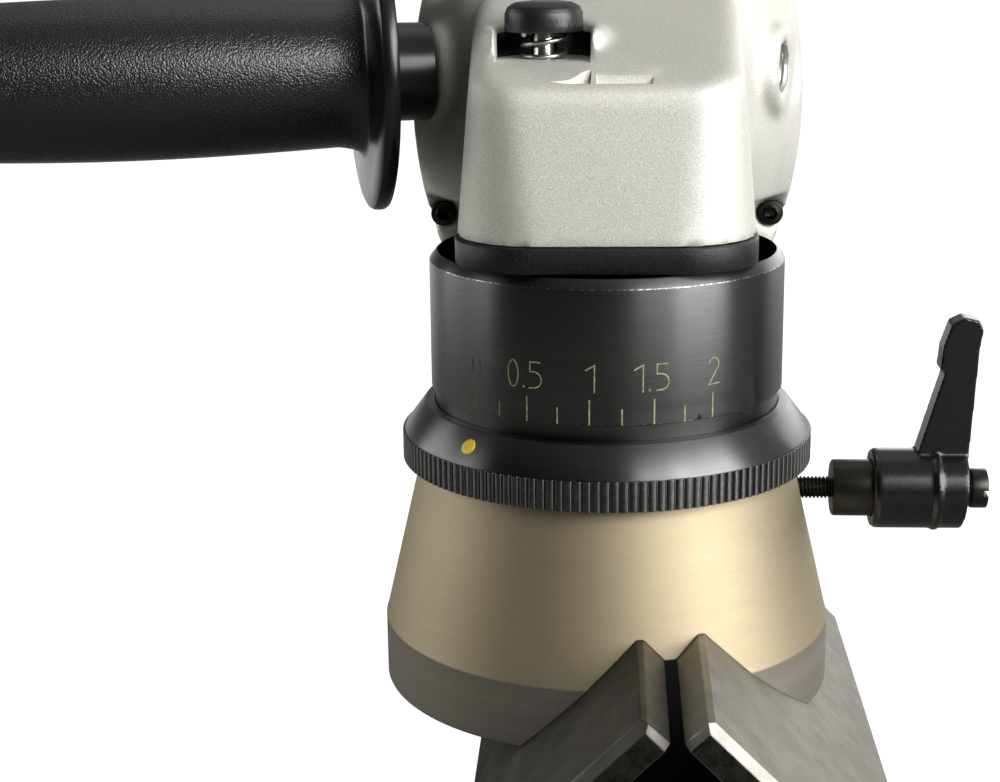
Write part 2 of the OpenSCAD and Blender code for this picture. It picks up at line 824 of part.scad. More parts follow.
// Side view of the lever's arm in XZ, from the hub to the faceted tip
module lever_arm() {
    translate([0, 3.6, 0]) rotate([90, 0, 0]) linear_extrude(height = 7.2) polygon([
        [81.6, 81], [88, 103.6], [86.7, 104.3], [87.2, 110.1], [89.3, 116.5],
        [92.6, 118.1], [96.4, 117.2], [97.4, 114.7], [96.7, 110.1], [95.1, 79]]);
}

module clamp_lever() {
    color("#232425") difference() {
        union() {
            at_clamp() {
                translate([0, 0, hub_x]) cylinder(r1 = 10.1, r2 = hub_r, h = 1.2);
                translate([0, 0, hub_x + 1.2]) cylinder(r = hub_r, h = hub_end - hub_x - 1.2);
                translate([0, 0, 86.2]) cylinder(r = hub_r + 0.55, h = 1.2);
            }
            lever_arm();
        }
        at_clamp() {
            translate([0, 0, hub_x - 1]) cylinder(r = 7.6, h = 2.7);
            translate([0, 0, hub_x + 1]) cylinder(r = 6.5, h = 7.9);
            translate([0, 0, 75]) cylinder(r = 2.6, h = 30);
            translate([0, 0, 84.5]) cylinder(r = 5.6, h = 20);
        }
        // the hub's outer end leans in below
        translate([hub_end + 0.2, -20, clamp_z + 9]) rotate([0, 4, 0])
            translate([0, 0, -40]) cube([20, 40, 40.01]);
    }
}

// ---------------------------------------------------------------- spindle lock

module lock_button() {
    color("#1f2022") translate([button_x, button_y, cap_z]) rotate_extrude() polygon([
        [0, 0], [cap_r - 0.3, 0], [cap_r, 0.4], [cap_r - 0.15, 4.4], [cap_r - 0.9, 6],
        [cap_r - 2.6, 7], [cap_r - 5, 7.3], [0, 7.4]]);
}

module lock_pin() {
    color("#c9c8c4") translate([button_x, button_y, lock_tip])
        cylinder(r = lock_r, h = cap_z - lock_tip);
}

module lock_spring() {
    color("#a8a28f") translate([button_x, button_y, pocket_z]) coil(5.5, 0.5, 3, 2.75);
}

// ---------------------------------------------------------------- side handle

// Radius of the grip along its length, fullest in the middle of the palm
function grip_r(s) = 19.4 + 1.9 * sin(180 * (s - 20) / (grip_len - 24));

module side_grip() {
    color("#1c1d1e") at_socket(-1) difference() {
        rotate_extrude() polygon(concat(
            [[0, 0.1], [13, 0.1], [13.2, 13.6], [35.5, 13.6], [36.7, 14.2], [37, 15.2],
                [36.6, 16.5], [34, 17.2], [23.5, 17.8], [22.6, 19.4], [20.6, 20.4]],
            [for (s = [26 : 12 : grip_len - 10]) [grip_r(s), s]],
            [[20.6, grip_len - 8], [20.8, grip_len - 4], [18.6, grip_len - 0.8],
                [15, grip_len], [0, grip_len]]));
        translate([0, 0, -1]) cylinder(r = socket_r - gap, h = 31);
    }
}

module grip_stud() {
    color("#8f8e8a") at_socket(-1) translate([0, 0, -18]) cylinder(r = socket_r - gap, h = 48);
}

// ---------------------------------------------------------------- rear handle

paddle_front = 244;
paddle_back = 330;

module rear_shell(side) {
    difference() {
        at_motor() rotate_extrude() polygon([
            [0, motor_back], [46.2, motor_back], [45.6, 208], [42, 219], [33, 230],
            [26.5, 242], [24.6, 262], [24.6, 310], [26, 330], [29, 344], [29, 352],
            [27, rear_end - 4], [23, rear_end], [0, rear_end]]);
        at_motor() rotate_extrude() polygon([
            [0, motor_back - 1], [42.8, motor_back - 1], [42.4, 207], [39, 217],
            [30.4, 228], [23.6, 241], [21.7, 262], [21.7, 310], [23, 330], [26, 345],
            [26, 352], [24, rear_end - 5], [21, rear_end - 3], [0, rear_end - 3]]);
        translate([side > 0 ? -big : 0, -big, -big]) cube([big, 3 * big, 3 * big]);
        at_motor() {
            translate([0, 0, rear_end - 10]) cylinder(r = 7, h = 20);
            // air inlets
            for (a = [0 : 15 : 60]) rotate([0, 0, side > 0 ? a - 30 : a + 150])
                translate([30, -1.6, 203.4]) cube([20, 3.2, 14.7]);
        }
        translate([-8.2, paddle_front - 3.3, motor_z - 40])
            cube([16.4, paddle_back - paddle_front + 6.6, 40]);
        at_handle_screws() rotate([0, 90, 0]) {
            translate([0, 0, -12.5]) cylinder(r = 1.6, h = 30);
            translate([0, 0, 12]) cylinder(r = 3.2, h = 30);
        }
        at_paddle_pin() translate([0, 0, -11]) cylinder(r = 2, h = 22);
    }
}

module at_handle_screws() {
    for (p = [[234, 17], [276, 15.5], [318, 15.5], [346, -17], [346, 17]])
        translate([0, p[0], motor_z + p[1]]) children();
}

module rear_handle_left() {
    color("#303234") rear_shell(-1);
    color("#303234") screw_posts(-1);
}

module rear_handle_right() {
    color("#303234") rear_shell(1);
    color("#303234") screw_posts(1);
}

// Round posts inside a shell that its screws and the end of the paddle's pin sit in
module screw_posts(side) {
    intersection() {
        difference() {
            union() {
                at_handle_screws() rotate([0, side * 90, 0]) cylinder(r = 4.3, h = 30);
                at_paddle_pin() mirror([0, 0, side > 0 ? 0 : 1]) translate([0, 0, 8.4])
                    cylinder(r = 4, h = 12);
            }
            at_handle_screws() rotate([0, 90, 0]) {
                translate([0, 0, -12.5]) cylinder(r = 1.6, h = 30);
                translate([0, 0, 12]) cylinder(r = 3.2, h = 30);
            }
            at_paddle_pin() translate([0, 0, -11]) cylinder(r = 2, h = 22);
        }
        at_motor() rotate_extrude() polygon([
            [0, 225], [32, 228.5], [25, 241.5], [23.2, 262], [23.2, 310], [24.6, 330],
            [27.4, 345], [27.4, 352], [0, 352]]);
    }
}

module handle_screws() {
    color("#8d8d8a") at_handle_screws() rotate([0, 90, 0]) {
        translate([0, 0, -12]) cylinder(r = 1.6, h = 24);
        translate([0, 0, 12]) cylinder(r = 3, h = 2.4);
    }
}

module switch_body() {
    color("#3d4145") translate([-9, 256, motor_z - 8]) cube([18, 56, 17]);
    color("#3d4145") translate([-3, 290, motor_z - 13.6]) cube([6, 7, 5.7]);
}

module switch_paddle() {
    color("#1b1c1d") difference() {
        translate([-7.8, 0, 0]) rotate([90, 0, 90]) linear_extrude(height = 15.6)
            polygon([[paddle_front, motor_z - 17], [paddle_front, motor_z - 25],
                [paddle_front + 6, motor_z - 29], [paddle_front + 30, motor_z - 33.5],
                [paddle_back - 8, motor_z - 33.5], [paddle_back, motor_z - 29],
                [paddle_back, motor_z - 19], [paddle_back - 4, motor_z - 17]]);
        at_paddle_pin() translate([0, 0, -10]) cylinder(r = 2.05, h = 20);
    }
}

module at_paddle_pin() {
    translate([0, paddle_front + 5, motor_z - 21]) rotate([0, 90, 0]) children();
}

module paddle_pin() {
    color("#8f8f8c") at_paddle_pin() translate([0, 0, -11]) cylinder(r = 2, h = 22);
}

module cord_gland() {
    color("#18191a") at_motor() difference() {
        union() {
            translate([0, 0, rear_end - 8]) cylinder(r = 9.5, h = 4.9);
            translate([0, 0, rear_end - 3.2]) cylinder(r = 6.9, h = 3.4);
            translate([0, 0, rear_end + 0.1]) cylinder(r = 10.5, h = 5);
        }
        translate([0, 0, rear_end - 9]) cylinder(r = 4.2, h = 20);
    }
}

guide_body();
left_rail();
right_rail();
rail_screws();
guide_pin();
depth_ring();
index_dot();
retaining_ring();
scale_sleeve();
sleeve_screws();
bearing_plate();
plate_screws();
gear_case();
crown_gear();
spindle();
spindle_bearing_outers();
spindle_bearing_inners();
cutter_head();
cutter_inserts();
insert_screws();
cutter_bolt();
pinion();
armature_shaft();
armature_core();
armature_windings();
commutator();
fan();
motor_bearing_outers();
motor_bearing_inners();
stator_core();
field_coils();
air_baffle();
brush_holders();
carbon_brushes();
brush_springs();
motor_housing();
flange_screws();
thrust_pad();
clamp_stud();
clamp_lever();
lever_screw();
lever_spring();
lock_button();
lock_pin();
lock_spring();
side_grip();
grip_stud();
rear_handle_left();
rear_handle_right();
handle_screws();
switch_body();
switch_paddle();
paddle_pin();
cord_gland();
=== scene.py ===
"""Looks of a hand-held edge-chamfering machine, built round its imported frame.

Metres, in the frame's own axes: the spindle turns about Z, the motor about Y, and z = 0 is the
plane on which the two V rails stand. Lengths in the code are in mm, which MM takes to metres,
unless a comment says metres.
"""
import json
import math

import bmesh
import bpy
import numpy as np
from mathutils import Matrix, Vector


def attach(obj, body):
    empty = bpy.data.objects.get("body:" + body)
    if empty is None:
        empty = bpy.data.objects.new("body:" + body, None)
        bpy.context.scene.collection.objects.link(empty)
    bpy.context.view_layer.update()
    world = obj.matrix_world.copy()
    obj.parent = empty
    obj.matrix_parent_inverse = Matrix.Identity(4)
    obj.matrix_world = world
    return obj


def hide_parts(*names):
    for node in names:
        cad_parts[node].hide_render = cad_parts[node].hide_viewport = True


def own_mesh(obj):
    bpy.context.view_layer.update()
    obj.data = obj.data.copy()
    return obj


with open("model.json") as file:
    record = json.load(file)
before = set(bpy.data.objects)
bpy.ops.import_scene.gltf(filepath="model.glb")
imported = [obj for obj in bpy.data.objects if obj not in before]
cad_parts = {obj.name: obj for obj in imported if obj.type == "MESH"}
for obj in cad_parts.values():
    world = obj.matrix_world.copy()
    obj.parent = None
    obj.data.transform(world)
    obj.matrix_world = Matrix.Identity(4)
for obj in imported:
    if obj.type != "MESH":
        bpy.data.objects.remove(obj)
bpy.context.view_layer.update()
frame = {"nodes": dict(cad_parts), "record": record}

MM = 0.001

# Heights: the motor's axis, the clamp stud's axis, the top of the straight band at the guide's
# foot, and the scale sleeve's lower and upper edge
MOTOR_Z = 169.7
CLAMP_Z = 71.2
BAND_TOP = 37.5
SLEEVE_FOOT = 100.9
SLEEVE_EDGE = 134.1

# Centre plane of the V rails
RAILS_X = 15.85

# Outer radius of the knurl, and half the width of the bare metal on a worn edge
KNURL_CREST = 53.9
WORN_HALF = 0.14


# ---------------------------------------------------------------- materials

def linear(hex_colour):
    """An sRGB hex colour as linear RGBA."""
    channels = [int(hex_colour[i:i + 2], 16) / 255 for i in (1, 3, 5)]
    return [c / 12.92 if c <= 0.04045 else ((c + 0.055) / 1.055) ** 2.4 for c in channels] + [1.0]


def add(tree, kind, inputs=None, **settings):
    """A node of this kind with its settings; inputs maps sockets to values or to other sockets."""
    node = tree.nodes.new(kind)
    for name, value in settings.items():
        setattr(node, name, value)
    for key, value in (inputs or {}).items():
        if isinstance(value, bpy.types.NodeSocket):
            tree.links.new(value, node.inputs[key])
        else:
            node.inputs[key].default_value = value
    return node


def start_material(name, colour, metallic, roughness, **sockets):
    """A material whose shader has these constants, with its tree and shader."""
    made = bpy.data.materials.new(name)
    made.use_nodes = True
    tree = made.node_tree
    shader = tree.nodes["Principled BSDF"]
    shader.inputs["Base Color"].default_value = linear(colour)
    shader.inputs["Metallic"].default_value = metallic
    shader.inputs["Roughness"].default_value = roughness
    for key, value in sockets.items():
        shader.inputs[key.replace("_", " ")].default_value = value
    return made, tree, shader


def place_of(tree, scale=(1, 1, 1), shift=(0, 0, 0)):
    """Object coordinates, scaled and shifted."""
    coordinates = add(tree, "ShaderNodeTexCoord").outputs["Object"]
    return add(tree, "ShaderNodeMapping", {
        "Vector": coordinates, "Location": shift, "Scale": scale,
    }).outputs["Vector"]


def axes_of(tree):
    """The X, Y and Z of the object coordinates."""
    return add(tree, "ShaderNodeSeparateXYZ", {"Vector": place_of(tree)}).outputs


def from_axis(tree, axes):
    """The way out from the Z axis as a vector, and how long it is."""
    flat = add(tree, "ShaderNodeCombineXYZ", {"X": axes["X"], "Y": axes["Y"]}).outputs[0]
    length = add(tree, "ShaderNodeVectorMath", {0: flat}, operation="LENGTH")
    return flat, length.outputs["Value"]


def noise_of(tree, size_mm, vector=None, detail=3.0, rough=0.5):
    """Noise whose blobs are about size_mm across."""
    return add(tree, "ShaderNodeTexNoise", {
        "Vector": vector or place_of(tree), "Scale": 1 / (size_mm * MM),
        "Detail": detail, "Roughness": rough,
    }).outputs["Fac"]


def scaled(tree, vector, factor):
    """A vector times a number."""
    return add(tree, "ShaderNodeVectorMath", {0: vector, 3: factor}, operation="SCALE").outputs[0]


def summed(tree, first, second):
    """The sum of two vectors."""
    return add(tree, "ShaderNodeVectorMath", {0: first, 1: second}, operation="ADD").outputs[0]


def turned_lines(tree, pitch_mm):
    """Noise that runs in rings about Z, as a lathe tool leaves it on any turned face."""
    axes = axes_of(tree)
    flat, radius = from_axis(tree, axes)
    swirl = scaled(tree, flat, 0.03)
    rings = add(tree, "ShaderNodeCombineXYZ", {"X": radius, "Z": axes["Z"]}).outputs[0]
    return noise_of(tree, pitch_mm, summed(tree, rings, swirl), detail=4.0, rough=0.65)


def across_the_rings(tree):
    """The way across a lathe's rings on any turned face, in which they spread a highlight."""
    return place_of(tree, scale=(1, 1, 0), shift=(0, 0, -0.1))


def ramp(tree, value, low, high, at_low=0.0, at_high=1.0):
    """value taken from low..high to at_low..at_high, and held there beyond."""
    return add(tree, "ShaderNodeMapRange", {
        "Value": value, "From Min": low, "From Max": high, "To Min": at_low, "To Max": at_high,
    }).outputs["Result"]


def blend(tree, factor, first, second):
    """The first colour where factor is 0, the second where it is 1."""
    node = add(tree, "ShaderNodeMix", {0: factor}, data_type="RGBA")
    for socket, value in ((node.inputs[6], first), (node.inputs[7], second)):
        if isinstance(value, bpy.types.NodeSocket):
            tree.links.new(value, socket)
        else:
            socket.default_value = linear(value)
    return node.outputs[2]


def join(tree, *values, operation="ADD"):
    """Several numbers joined by one operation."""
    result = values[0]
    for value in values[1:]:
        result = add(tree, "ShaderNodeMath", {0: result, 1: value}, operation=operation).outputs[0]
    return result


def off(tree, value, middle_mm):
    """How far the value lies from middle_mm, on either side."""
    moved_on = join(tree, value, middle_mm * MM, operation="SUBTRACT")
    return add(tree, "ShaderNodeMath", {0: moved_on}, operation="ABSOLUTE").outputs[0]


def near(tree, value, middle_mm, half_mm):
    """1 where the value lies within 0.6 half_mm of middle_mm, falling to 0 at half_mm."""
    return ramp(tree, off(tree, value, middle_mm), 0.6 * half_mm * MM, half_mm * MM, 1.0, 0.0)


def use(tree, shader, colour=None, roughness=None, height=None, depth_mm=0.05):
    """Links what a pattern gives to the shader."""
    if colour is not None:
        tree.links.new(colour, shader.inputs["Base Color"])
    if roughness is not None:
        tree.links.new(roughness, shader.inputs["Roughness"])
    if height is not None:
        bump = add(tree, "ShaderNodeBump", {
            "Height": height, "Distance": depth_mm * MM, "Strength": 1.0})
        tree.links.new(bump.outputs["Normal"], shader.inputs["Normal"])


def blasted_aluminium():
    """Die-cast aluminium, shot-blasted: a bright silver with a fine, glittering grain."""
    made, tree, shader = start_material("blasted_cast_aluminium", "#C4C3BD", 1.0, 0.6)
    grain = noise_of(tree, 0.26, detail=1.0)
    cloud = noise_of(tree, 14.0, detail=3.0)
    use(tree, shader,
        colour=blend(tree, ramp(tree, grain, 0.35, 0.65), "#C2C1BA", "#DBDAD3"),
        roughness=ramp(tree, cloud, 0.3, 0.7, 0.65, 0.72),
        height=grain, depth_mm=0.05)
    return made


def machined_aluminium():
    """Cut aluminium inside the sockets and round their mouths: brighter and smoother."""
    made, tree, shader = start_material("machined_aluminium", "#D6D6D3", 1.0, 0.3)
    use(tree, shader, height=noise_of(tree, 0.2), depth_mm=0.01)
    return made


def black_anodised():
    """Turned aluminium, black anodised: semi-gloss, with the lathe's rings just showing.

    Bare metal shows where the sleeve's two edges and the knurl's crests were knocked.
    """
    made, tree, shader = start_material(
        "black_anodised_aluminium", "#4A4A49", 1.0, 0.34, Anisotropic=0.85)
    rings = turned_lines(tree, 0.25)
    broad = turned_lines(tree, 5.0)
    tree.links.new(across_the_rings(tree), shader.inputs["Tangent"])
    axes = axes_of(tree)
    radius = from_axis(tree, axes)[1]
    edges = (
        (near(tree, axes["Z"], SLEEVE_EDGE, WORN_HALF), 0.8),
        (near(tree, axes["Z"], SLEEVE_FOOT + 0.05, WORN_HALF), 0.6),
        (ramp(tree, radius, (KNURL_CREST - 0.06) * MM, (KNURL_CREST + 0.02) * MM), 0.16),
    )
    exposed = join(tree, *(join(tree, edge, share, operation="MULTIPLY") for edge, share in edges))
    knocks = ramp(tree, noise_of(tree, 1.1, detail=4.0, rough=0.7), 0.46, 0.62)
    worn = join(tree, exposed, knocks, operation="MULTIPLY")
    black = blend(tree, ramp(tree, rings, 0.3, 0.75), "#525251", "#5F5F5E")
    use(tree, shader,
        colour=blend(tree, worn, black, "#C9C9C6"),
        roughness=ramp(tree, broad, 0.3, 0.7, 0.32, 0.38),
        height=rings, depth_mm=0.002)
    return made


def bronze_anodised():
    """Turned aluminium, champagne anodised; the straight band at its foot was left duller."""
    made, tree, shader = start_material(
        "champagne_anodised_aluminium", "#A99774", 1.0, 0.6, Anisotropic=0.2)
    tree.links.new(across_the_rings(tree), shader.inputs["Tangent"])
    rings = turned_lines(tree, 0.3)
    broad = turned_lines(tree, 9.0)
    on_band = ramp(tree, axes_of(tree)["Z"], (BAND_TOP - 0.1) * MM, (BAND_TOP + 0.5) * MM, 1.0, 0.0)
    cone = blend(tree, ramp(tree, rings, 0.3, 0.7), "#A4987F", "#ACA086")
    band = blend(tree, ramp(tree, broad, 0.35, 0.65), "#837E76", "#908A81")
    use(tree, shader,
        colour=blend(tree, on_band, cone, band),
        roughness=join(tree, ramp(tree, broad, 0.3, 0.7, 0.58, 0.62),
                       ramp(tree, on_band, 0, 1, 0, 0.1)),
        height=rings, depth_mm=0.001)
    return made


def ground_steel():
    """Tool steel, ground along its length and stained; the left rail is painted darker as painted
    shade, the right rail lighter as painted light.
    """
    made, tree, shader = start_material("ground_tool_steel", "#6A6762", 1.0, 0.5)
    strokes = noise_of(tree, 0.35, place_of(tree, scale=(1, 0.02, 1)), detail=4.0)
    stains = noise_of(tree, 9.0, detail=5.0, rough=0.6)
    worn = ramp(tree, stains, 0.3, 0.7)
    painted_light_on_right = ramp(tree, axes_of(tree)["X"], (RAILS_X - 1.85) * MM, (RAILS_X + 2.15) * MM)
    # painted light and shade: the right rail is coloured lighter and the left rail darker, for how
    # the light falls on them; the stains are random tone
    use(tree, shader,
        colour=blend(tree, painted_light_on_right, blend(tree, worn, "#44433E", "#595752"),
                     blend(tree, worn, "#7B7972", "#8E8B83")),
        roughness=join(tree, ramp(tree, strokes, 0.3, 0.7, 0.46, 0.54),
                       ramp(tree, stains, 0.3, 0.7, 0.06, -0.02)),
        height=strokes, depth_mm=0.012)
    return made


def shade_painted_end():
    """The rails' sawn ends: tool steel, painted near black as painted shade, with random blotches.
    """
    made, tree, shader = start_material("shade_painted_tool_steel", "#2A2926", 1.0, 0.55)
    stains = noise_of(tree, 3.0, detail=6.0, rough=0.7)
    use(tree, shader,
        colour=blend(tree, ramp(tree, stains, 0.35, 0.7), "#1F1E1C", "#45443F"),
        roughness=ramp(tree, stains, 0.3, 0.7, 0.6, 0.42),
        height=noise_of(tree, 0.8, detail=5.0), depth_mm=0.05)
    return made


def plain_metal(name, colour, roughness, grain_mm=0.5, depth_mm=0.01):
    """A metal with a fine irregular surface, for small parts."""
    made, tree, shader = start_material(name, colour, 1.0, roughness)
    grain = noise_of(tree, grain_mm, detail=4.0)
    use(tree, shader,
        roughness=ramp(tree, grain, 0.3, 0.7, roughness * 0.85, roughness * 1.15),
        height=grain, depth_mm=depth_mm)
    return made


def worn_lettering():
    """Engraved lines, pale where their paint is left, and worn almost away at the left end."""
    made, tree, shader = start_material("worn_engraving", "#9C986F", 0.0, 0.6)
    left_end, whole = -33 * MM, -22 * MM
    wear = join(tree, ramp(tree, axes_of(tree)["X"], left_end, whole, 0.15, 0.8),
                ramp(tree, noise_of(tree, 1.6, detail=3.0), 0.35, 0.65, -0.35, 0.2))
    use(tree, shader, colour=blend(tree, wear, "#2E2E2C", "#98946E"),
        roughness=ramp(tree, noise_of(tree, 0.5), 0.3, 0.7, 0.5, 0.7))
    return made


def moulded_plastic(name, colour, roughness, grain_mm=0.7, depth_mm=0.05):
    """Injection-moulded plastic with the spark-eroded grain of its mould."""
    made, tree, shader = start_material(name, colour, 0.0, roughness)
    grain = noise_of(tree, grain_mm, detail=2.0)
    cloud = noise_of(tree, 25.0, detail=2.0)
    use(tree, shader,
        roughness=ramp(tree, cloud, 0.3, 0.7, roughness - 0.04, roughness + 0.05),
        height=grain, depth_mm=depth_mm)
    return made


def leather_grip():
    """Soft black grip: a leather-like mould grain that breaks the highlight into sparks."""
    made, tree, shader = start_material("leather_grained_grip", "#0A0A0B", 0.0, 0.28, IOR=1.6)
    warp = add(tree, "ShaderNodeTexNoise", {
        "Vector": place_of(tree), "Scale": 1 / (1.6 * MM), "Detail": 2.0}).outputs["Color"]
    bent = summed(tree, place_of(tree), scaled(tree, warp, 0.6 * MM))
    cells = add(tree, "ShaderNodeTexVoronoi", {"Vector": bent, "Scale": 1 / (0.5 * MM)},
                feature="SMOOTH_F1").outputs["Distance"]
    fine = noise_of(tree, 0.3, detail=2.0)
    use(tree, shader,
        roughness=ramp(tree, fine, 0.3, 0.7, 0.22, 0.34),
        height=join(tree, ramp(tree, cells, 0.1, 0.7, 1.0, 0.0), ramp(tree, fine, 0, 1, 0, 0.35)),
        depth_mm=0.085)
    return made


def powder_coat(name, colour, roughness, depth_mm):
    """Black powder coat on a casting: even and slightly pebbled."""
    made, tree, shader = start_material(name, colour, 0.0, roughness)
    pebbles = noise_of(tree, 0.5, detail=2.0)
    use(tree, shader,
        roughness=ramp(tree, pebbles, 0.3, 0.7, roughness - 0.02, roughness + 0.03),
        height=pebbles, depth_mm=depth_mm)
    return made


def sparkling_black():
    """Cast plate painted black with a coarse grain; lighter specks in its colour are painted
    glints.
    """
    made, tree, shader = start_material("sparkling_black_paint", "#131313", 0.0, 0.42, IOR=1.4)
    grain = noise_of(tree, 0.42, detail=3.0, rough=0.7)
    # painted glints: lighter specks in the colour stand in for grains that catch the light
    glint = ramp(tree, noise_of(tree, 0.3, detail=1.0), 0.6, 0.8)
    use(tree, shader,
        colour=blend(tree, glint, "#080808", "#3E3E3F"),
        roughness=ramp(tree, grain, 0.3, 0.7, 0.34, 0.46),
        height=grain, depth_mm=0.1)
    return made


FINISH = {
    "cast_aluminium": blasted_aluminium(),
    "black_anodised": black_anodised(),
    "bronze_anodised": bronze_anodised(),
    "ground_steel": ground_steel(),
    "grip_plastic": leather_grip(),
    "smooth_grip": moulded_plastic("smooth_moulded_grip", "#0F0F10", 0.26, 0.5, 0.008),
    "black_cast": sparkling_black(),
    "lever_zinc": powder_coat("black_powder_coat", "#0A0A0A", 0.25, 0.005),
    "button_plastic": moulded_plastic("satin_nylon", "#121213", 0.36, 0.5, 0.02),
    "housing_plastic": moulded_plastic("glass_filled_nylon", "#26282B", 0.5, 0.8, 0.06),
    "black_plastic": moulded_plastic("black_nylon", "#202123", 0.5),
    "rubber_gland": moulded_plastic("moulded_rubber", "#17181A", 0.6, 0.9, 0.03),
    "carbon": moulded_plastic("pressed_carbon", "#232323", 0.6),
    "black_steel": plain_metal("blackened_steel", "#3A3935", 0.36),
    "steel_screws": plain_metal("zinc_plated_steel", "#B4B4B0", 0.3),
    "bright_steel": plain_metal("ground_steel_pin", "#DADAD6", 0.12, 0.3, depth_mm=0.002),
    "gear_steel": plain_metal("case_hardened_steel", "#8F8C86", 0.32),
    "bearing_steel": plain_metal("polished_bearing_steel", "#C9C9C6", 0.14, 0.3, depth_mm=0.002),
    "tool_steel": plain_metal("nickel_plated_tool_steel", "#8E8A82", 0.3),
    "coated_carbide": plain_metal("titanium_nitride_carbide", "#C9A544", 0.28),
    "laminations": plain_metal("varnished_laminations", "#6D6258", 0.5),
    "copper_wire": plain_metal("enamelled_copper", "#A8642F", 0.35),
    "copper_bars": plain_metal("turned_copper", "#C08048", 0.25),
    "brass": plain_metal("turned_brass", "#BFA055", 0.28),
    "machined": machined_aluminium(),
    "rail_end": shade_painted_end(),
    "yellow_paint": moulded_plastic("yellow_paint", "#CDB52E", 0.3, 0.3, 0.01),
}

# What the record says of each node: its slot and its body
SLOT_OF = {part["node"]: part["material_slot"] for part in frame["record"]["subparts"]}
BODY_OF = {node: body for body, nodes in frame["record"]["behaviour"]["bodies"].items()
           for node in nodes}


def finish_nodes():
    """Every CAD node gets the finish of the slot that the record names for it."""
    for node, slot in SLOT_OF.items():
        data = frame["nodes"][node].data
        data.materials.clear()
        data.materials.append(FINISH[slot])


finish_nodes()


# ---------------------------------------------------------------- making pieces

def new_object(name, mesh):
    """An object at the origin that holds this mesh."""
    made = bpy.data.objects.new(name, mesh)
    bpy.context.scene.collection.objects.link(made)
    return made


def from_bmesh(name, made):
    """An object made of a bmesh, which is freed."""
    mesh = bpy.data.meshes.new(name)
    bmesh.ops.recalc_face_normals(made, faces=made.faces)
    made.to_mesh(mesh)
    made.free()
    return new_object(name, mesh)


def applied(piece):
    """Makes what the piece's modifiers give its own mesh and drops the modifiers."""
    graph = bpy.context.evaluated_depsgraph_get()
    mesh = bpy.data.meshes.new_from_object(piece.evaluated_get(graph))
    piece.modifiers.clear()
    piece.data = mesh
    return piece


def smooth(piece, sharp_over=34):
    """Smooth shading, with the edges sharper than this many degrees kept as edges."""
    piece.data.shade_smooth()
    piece.data.set_sharp_from_angle(angle=math.radians(sharp_over))


def cleaned_copy(node, name):
    """A CAD node's mesh as a new object, its double corners merged and flat faces joined."""
    made = bmesh.new()
    made.from_mesh(frame["nodes"][node].data)
    bmesh.ops.remove_doubles(made, verts=made.verts, dist=0.001 * MM)
    bmesh.ops.dissolve_limit(
        made, angle_limit=math.radians(0.4), verts=made.verts, edges=made.edges)
    return from_bmesh(name, made)


def edged(piece, width, segments=2, over=30):
    """Rounds the piece's edges over this many degrees by a bevel of this width in mm."""
    bevel = piece.modifiers.new("edges", "BEVEL")
    bevel.width = width * MM
    bevel.segments = segments
    bevel.limit_method = "ANGLE"
    bevel.angle_limit = math.radians(over)
    bevel.use_clamp_overlap = False
    bevel.miter_outer = "MITER_ARC"
    applied(piece)


def cast_over(node, name, voxel, rounds, freedom=None):
    """A CAD node's form as a casting: remeshed at voxel mm, then softened for some rounds.

    freedom(place) says how free a point is to move, from 0 to 1.
    """
    piece = cleaned_copy(node, name)
    remesh = piece.modifiers.new("skin", "REMESH")
    remesh.mode = "VOXEL"
    remesh.voxel_size = voxel * MM
    applied(piece)
    soften = piece.modifiers.new("soften", "SMOOTH")
    soften.factor = 0.5
    soften.iterations = rounds
    if freedom:
        free = piece.vertex_groups.new(name="free")
        for vertex in piece.data.vertices:
            free.add([vertex.index], freedom(vertex.co / MM), "REPLACE")
        soften.vertex_group = "free"
    applied(piece)
    piece.vertex_groups.clear()
    return piece


def cut(piece, *tools):
    """Cuts the tools out of the piece and deletes them."""
    for tool in tools:
        step = piece.modifiers.new("cut", "BOOLEAN")
        step.operation = "DIFFERENCE"
        step.solver = "MANIFOLD"
        step.object = tool
        applied(piece)
        bpy.data.objects.remove(tool)


def joined(name, *pieces):
    """Several objects' meshes as one object; the objects are deleted."""
    made = bmesh.new()
    for piece in pieces:
        made.from_mesh(piece.data)
        bpy.data.objects.remove(piece)
    return from_bmesh(name, made)


def moved(piece, matrix):
    """Moves the piece's mesh, so that the object itself stays at the origin."""
    piece.data.transform(matrix)
    return piece


def turned(name, outline, segments):
    """A solid turned about Z from its closed outline of (radius, height) points in mm."""
    made = bmesh.new()
    corners = [made.verts.new((r * MM, 0, z * MM)) for r, z in outline]
    edges = [made.edges.new((corners[i - 1], corners[i])) for i in range(len(corners))]
    bmesh.ops.spin(made, geom=corners + edges, cent=(0, 0, 0), axis=(0, 0, 1),
                   angle=2 * math.pi, steps=segments, use_merge=True)
    bmesh.ops.remove_doubles(made, verts=made.verts, dist=0.0005 * MM)
    return from_bmesh(name, made)


def polar(radius, angle, z):
    """The point in metres at this radius in mm, angle in radians and height in mm."""
    return (radius * math.cos(angle) * MM, radius * math.sin(angle) * MM, z * MM)


def prism(name, outline, z_low, z_high):
    """An extruded outline of (x, y) points in mm."""
    made = bmesh.new()
    face = made.faces.new([made.verts.new((x * MM, y * MM, z_low * MM)) for x, y in outline])
    lifted = bmesh.ops.extrude_face_region(made, geom=[face])["geom"]
    bmesh.ops.translate(made, vec=(0, 0, (z_high - z_low) * MM),
                        verts=[v for v in lifted if isinstance(v, bmesh.types.BMVert)])
    return from_bmesh(name, made)


def tapered_prism(name, top, foot, z_top, z_foot):
    """A block between two outlines of the same number of (x, y) points in mm."""
    made = bmesh.new()
    high = [made.verts.new((x * MM, y * MM, z_top * MM)) for x, y in top]
    low = [made.verts.new((x * MM, y * MM, z_foot * MM)) for x, y in foot]
    made.faces.new(high)
    made.faces.new(list(reversed(low)))
    for i in range(len(top)):
        j = (i + 1) % len(top)
        made.faces.new((high[i], low[i], low[j], high[j]))
    return from_bmesh(name, made)


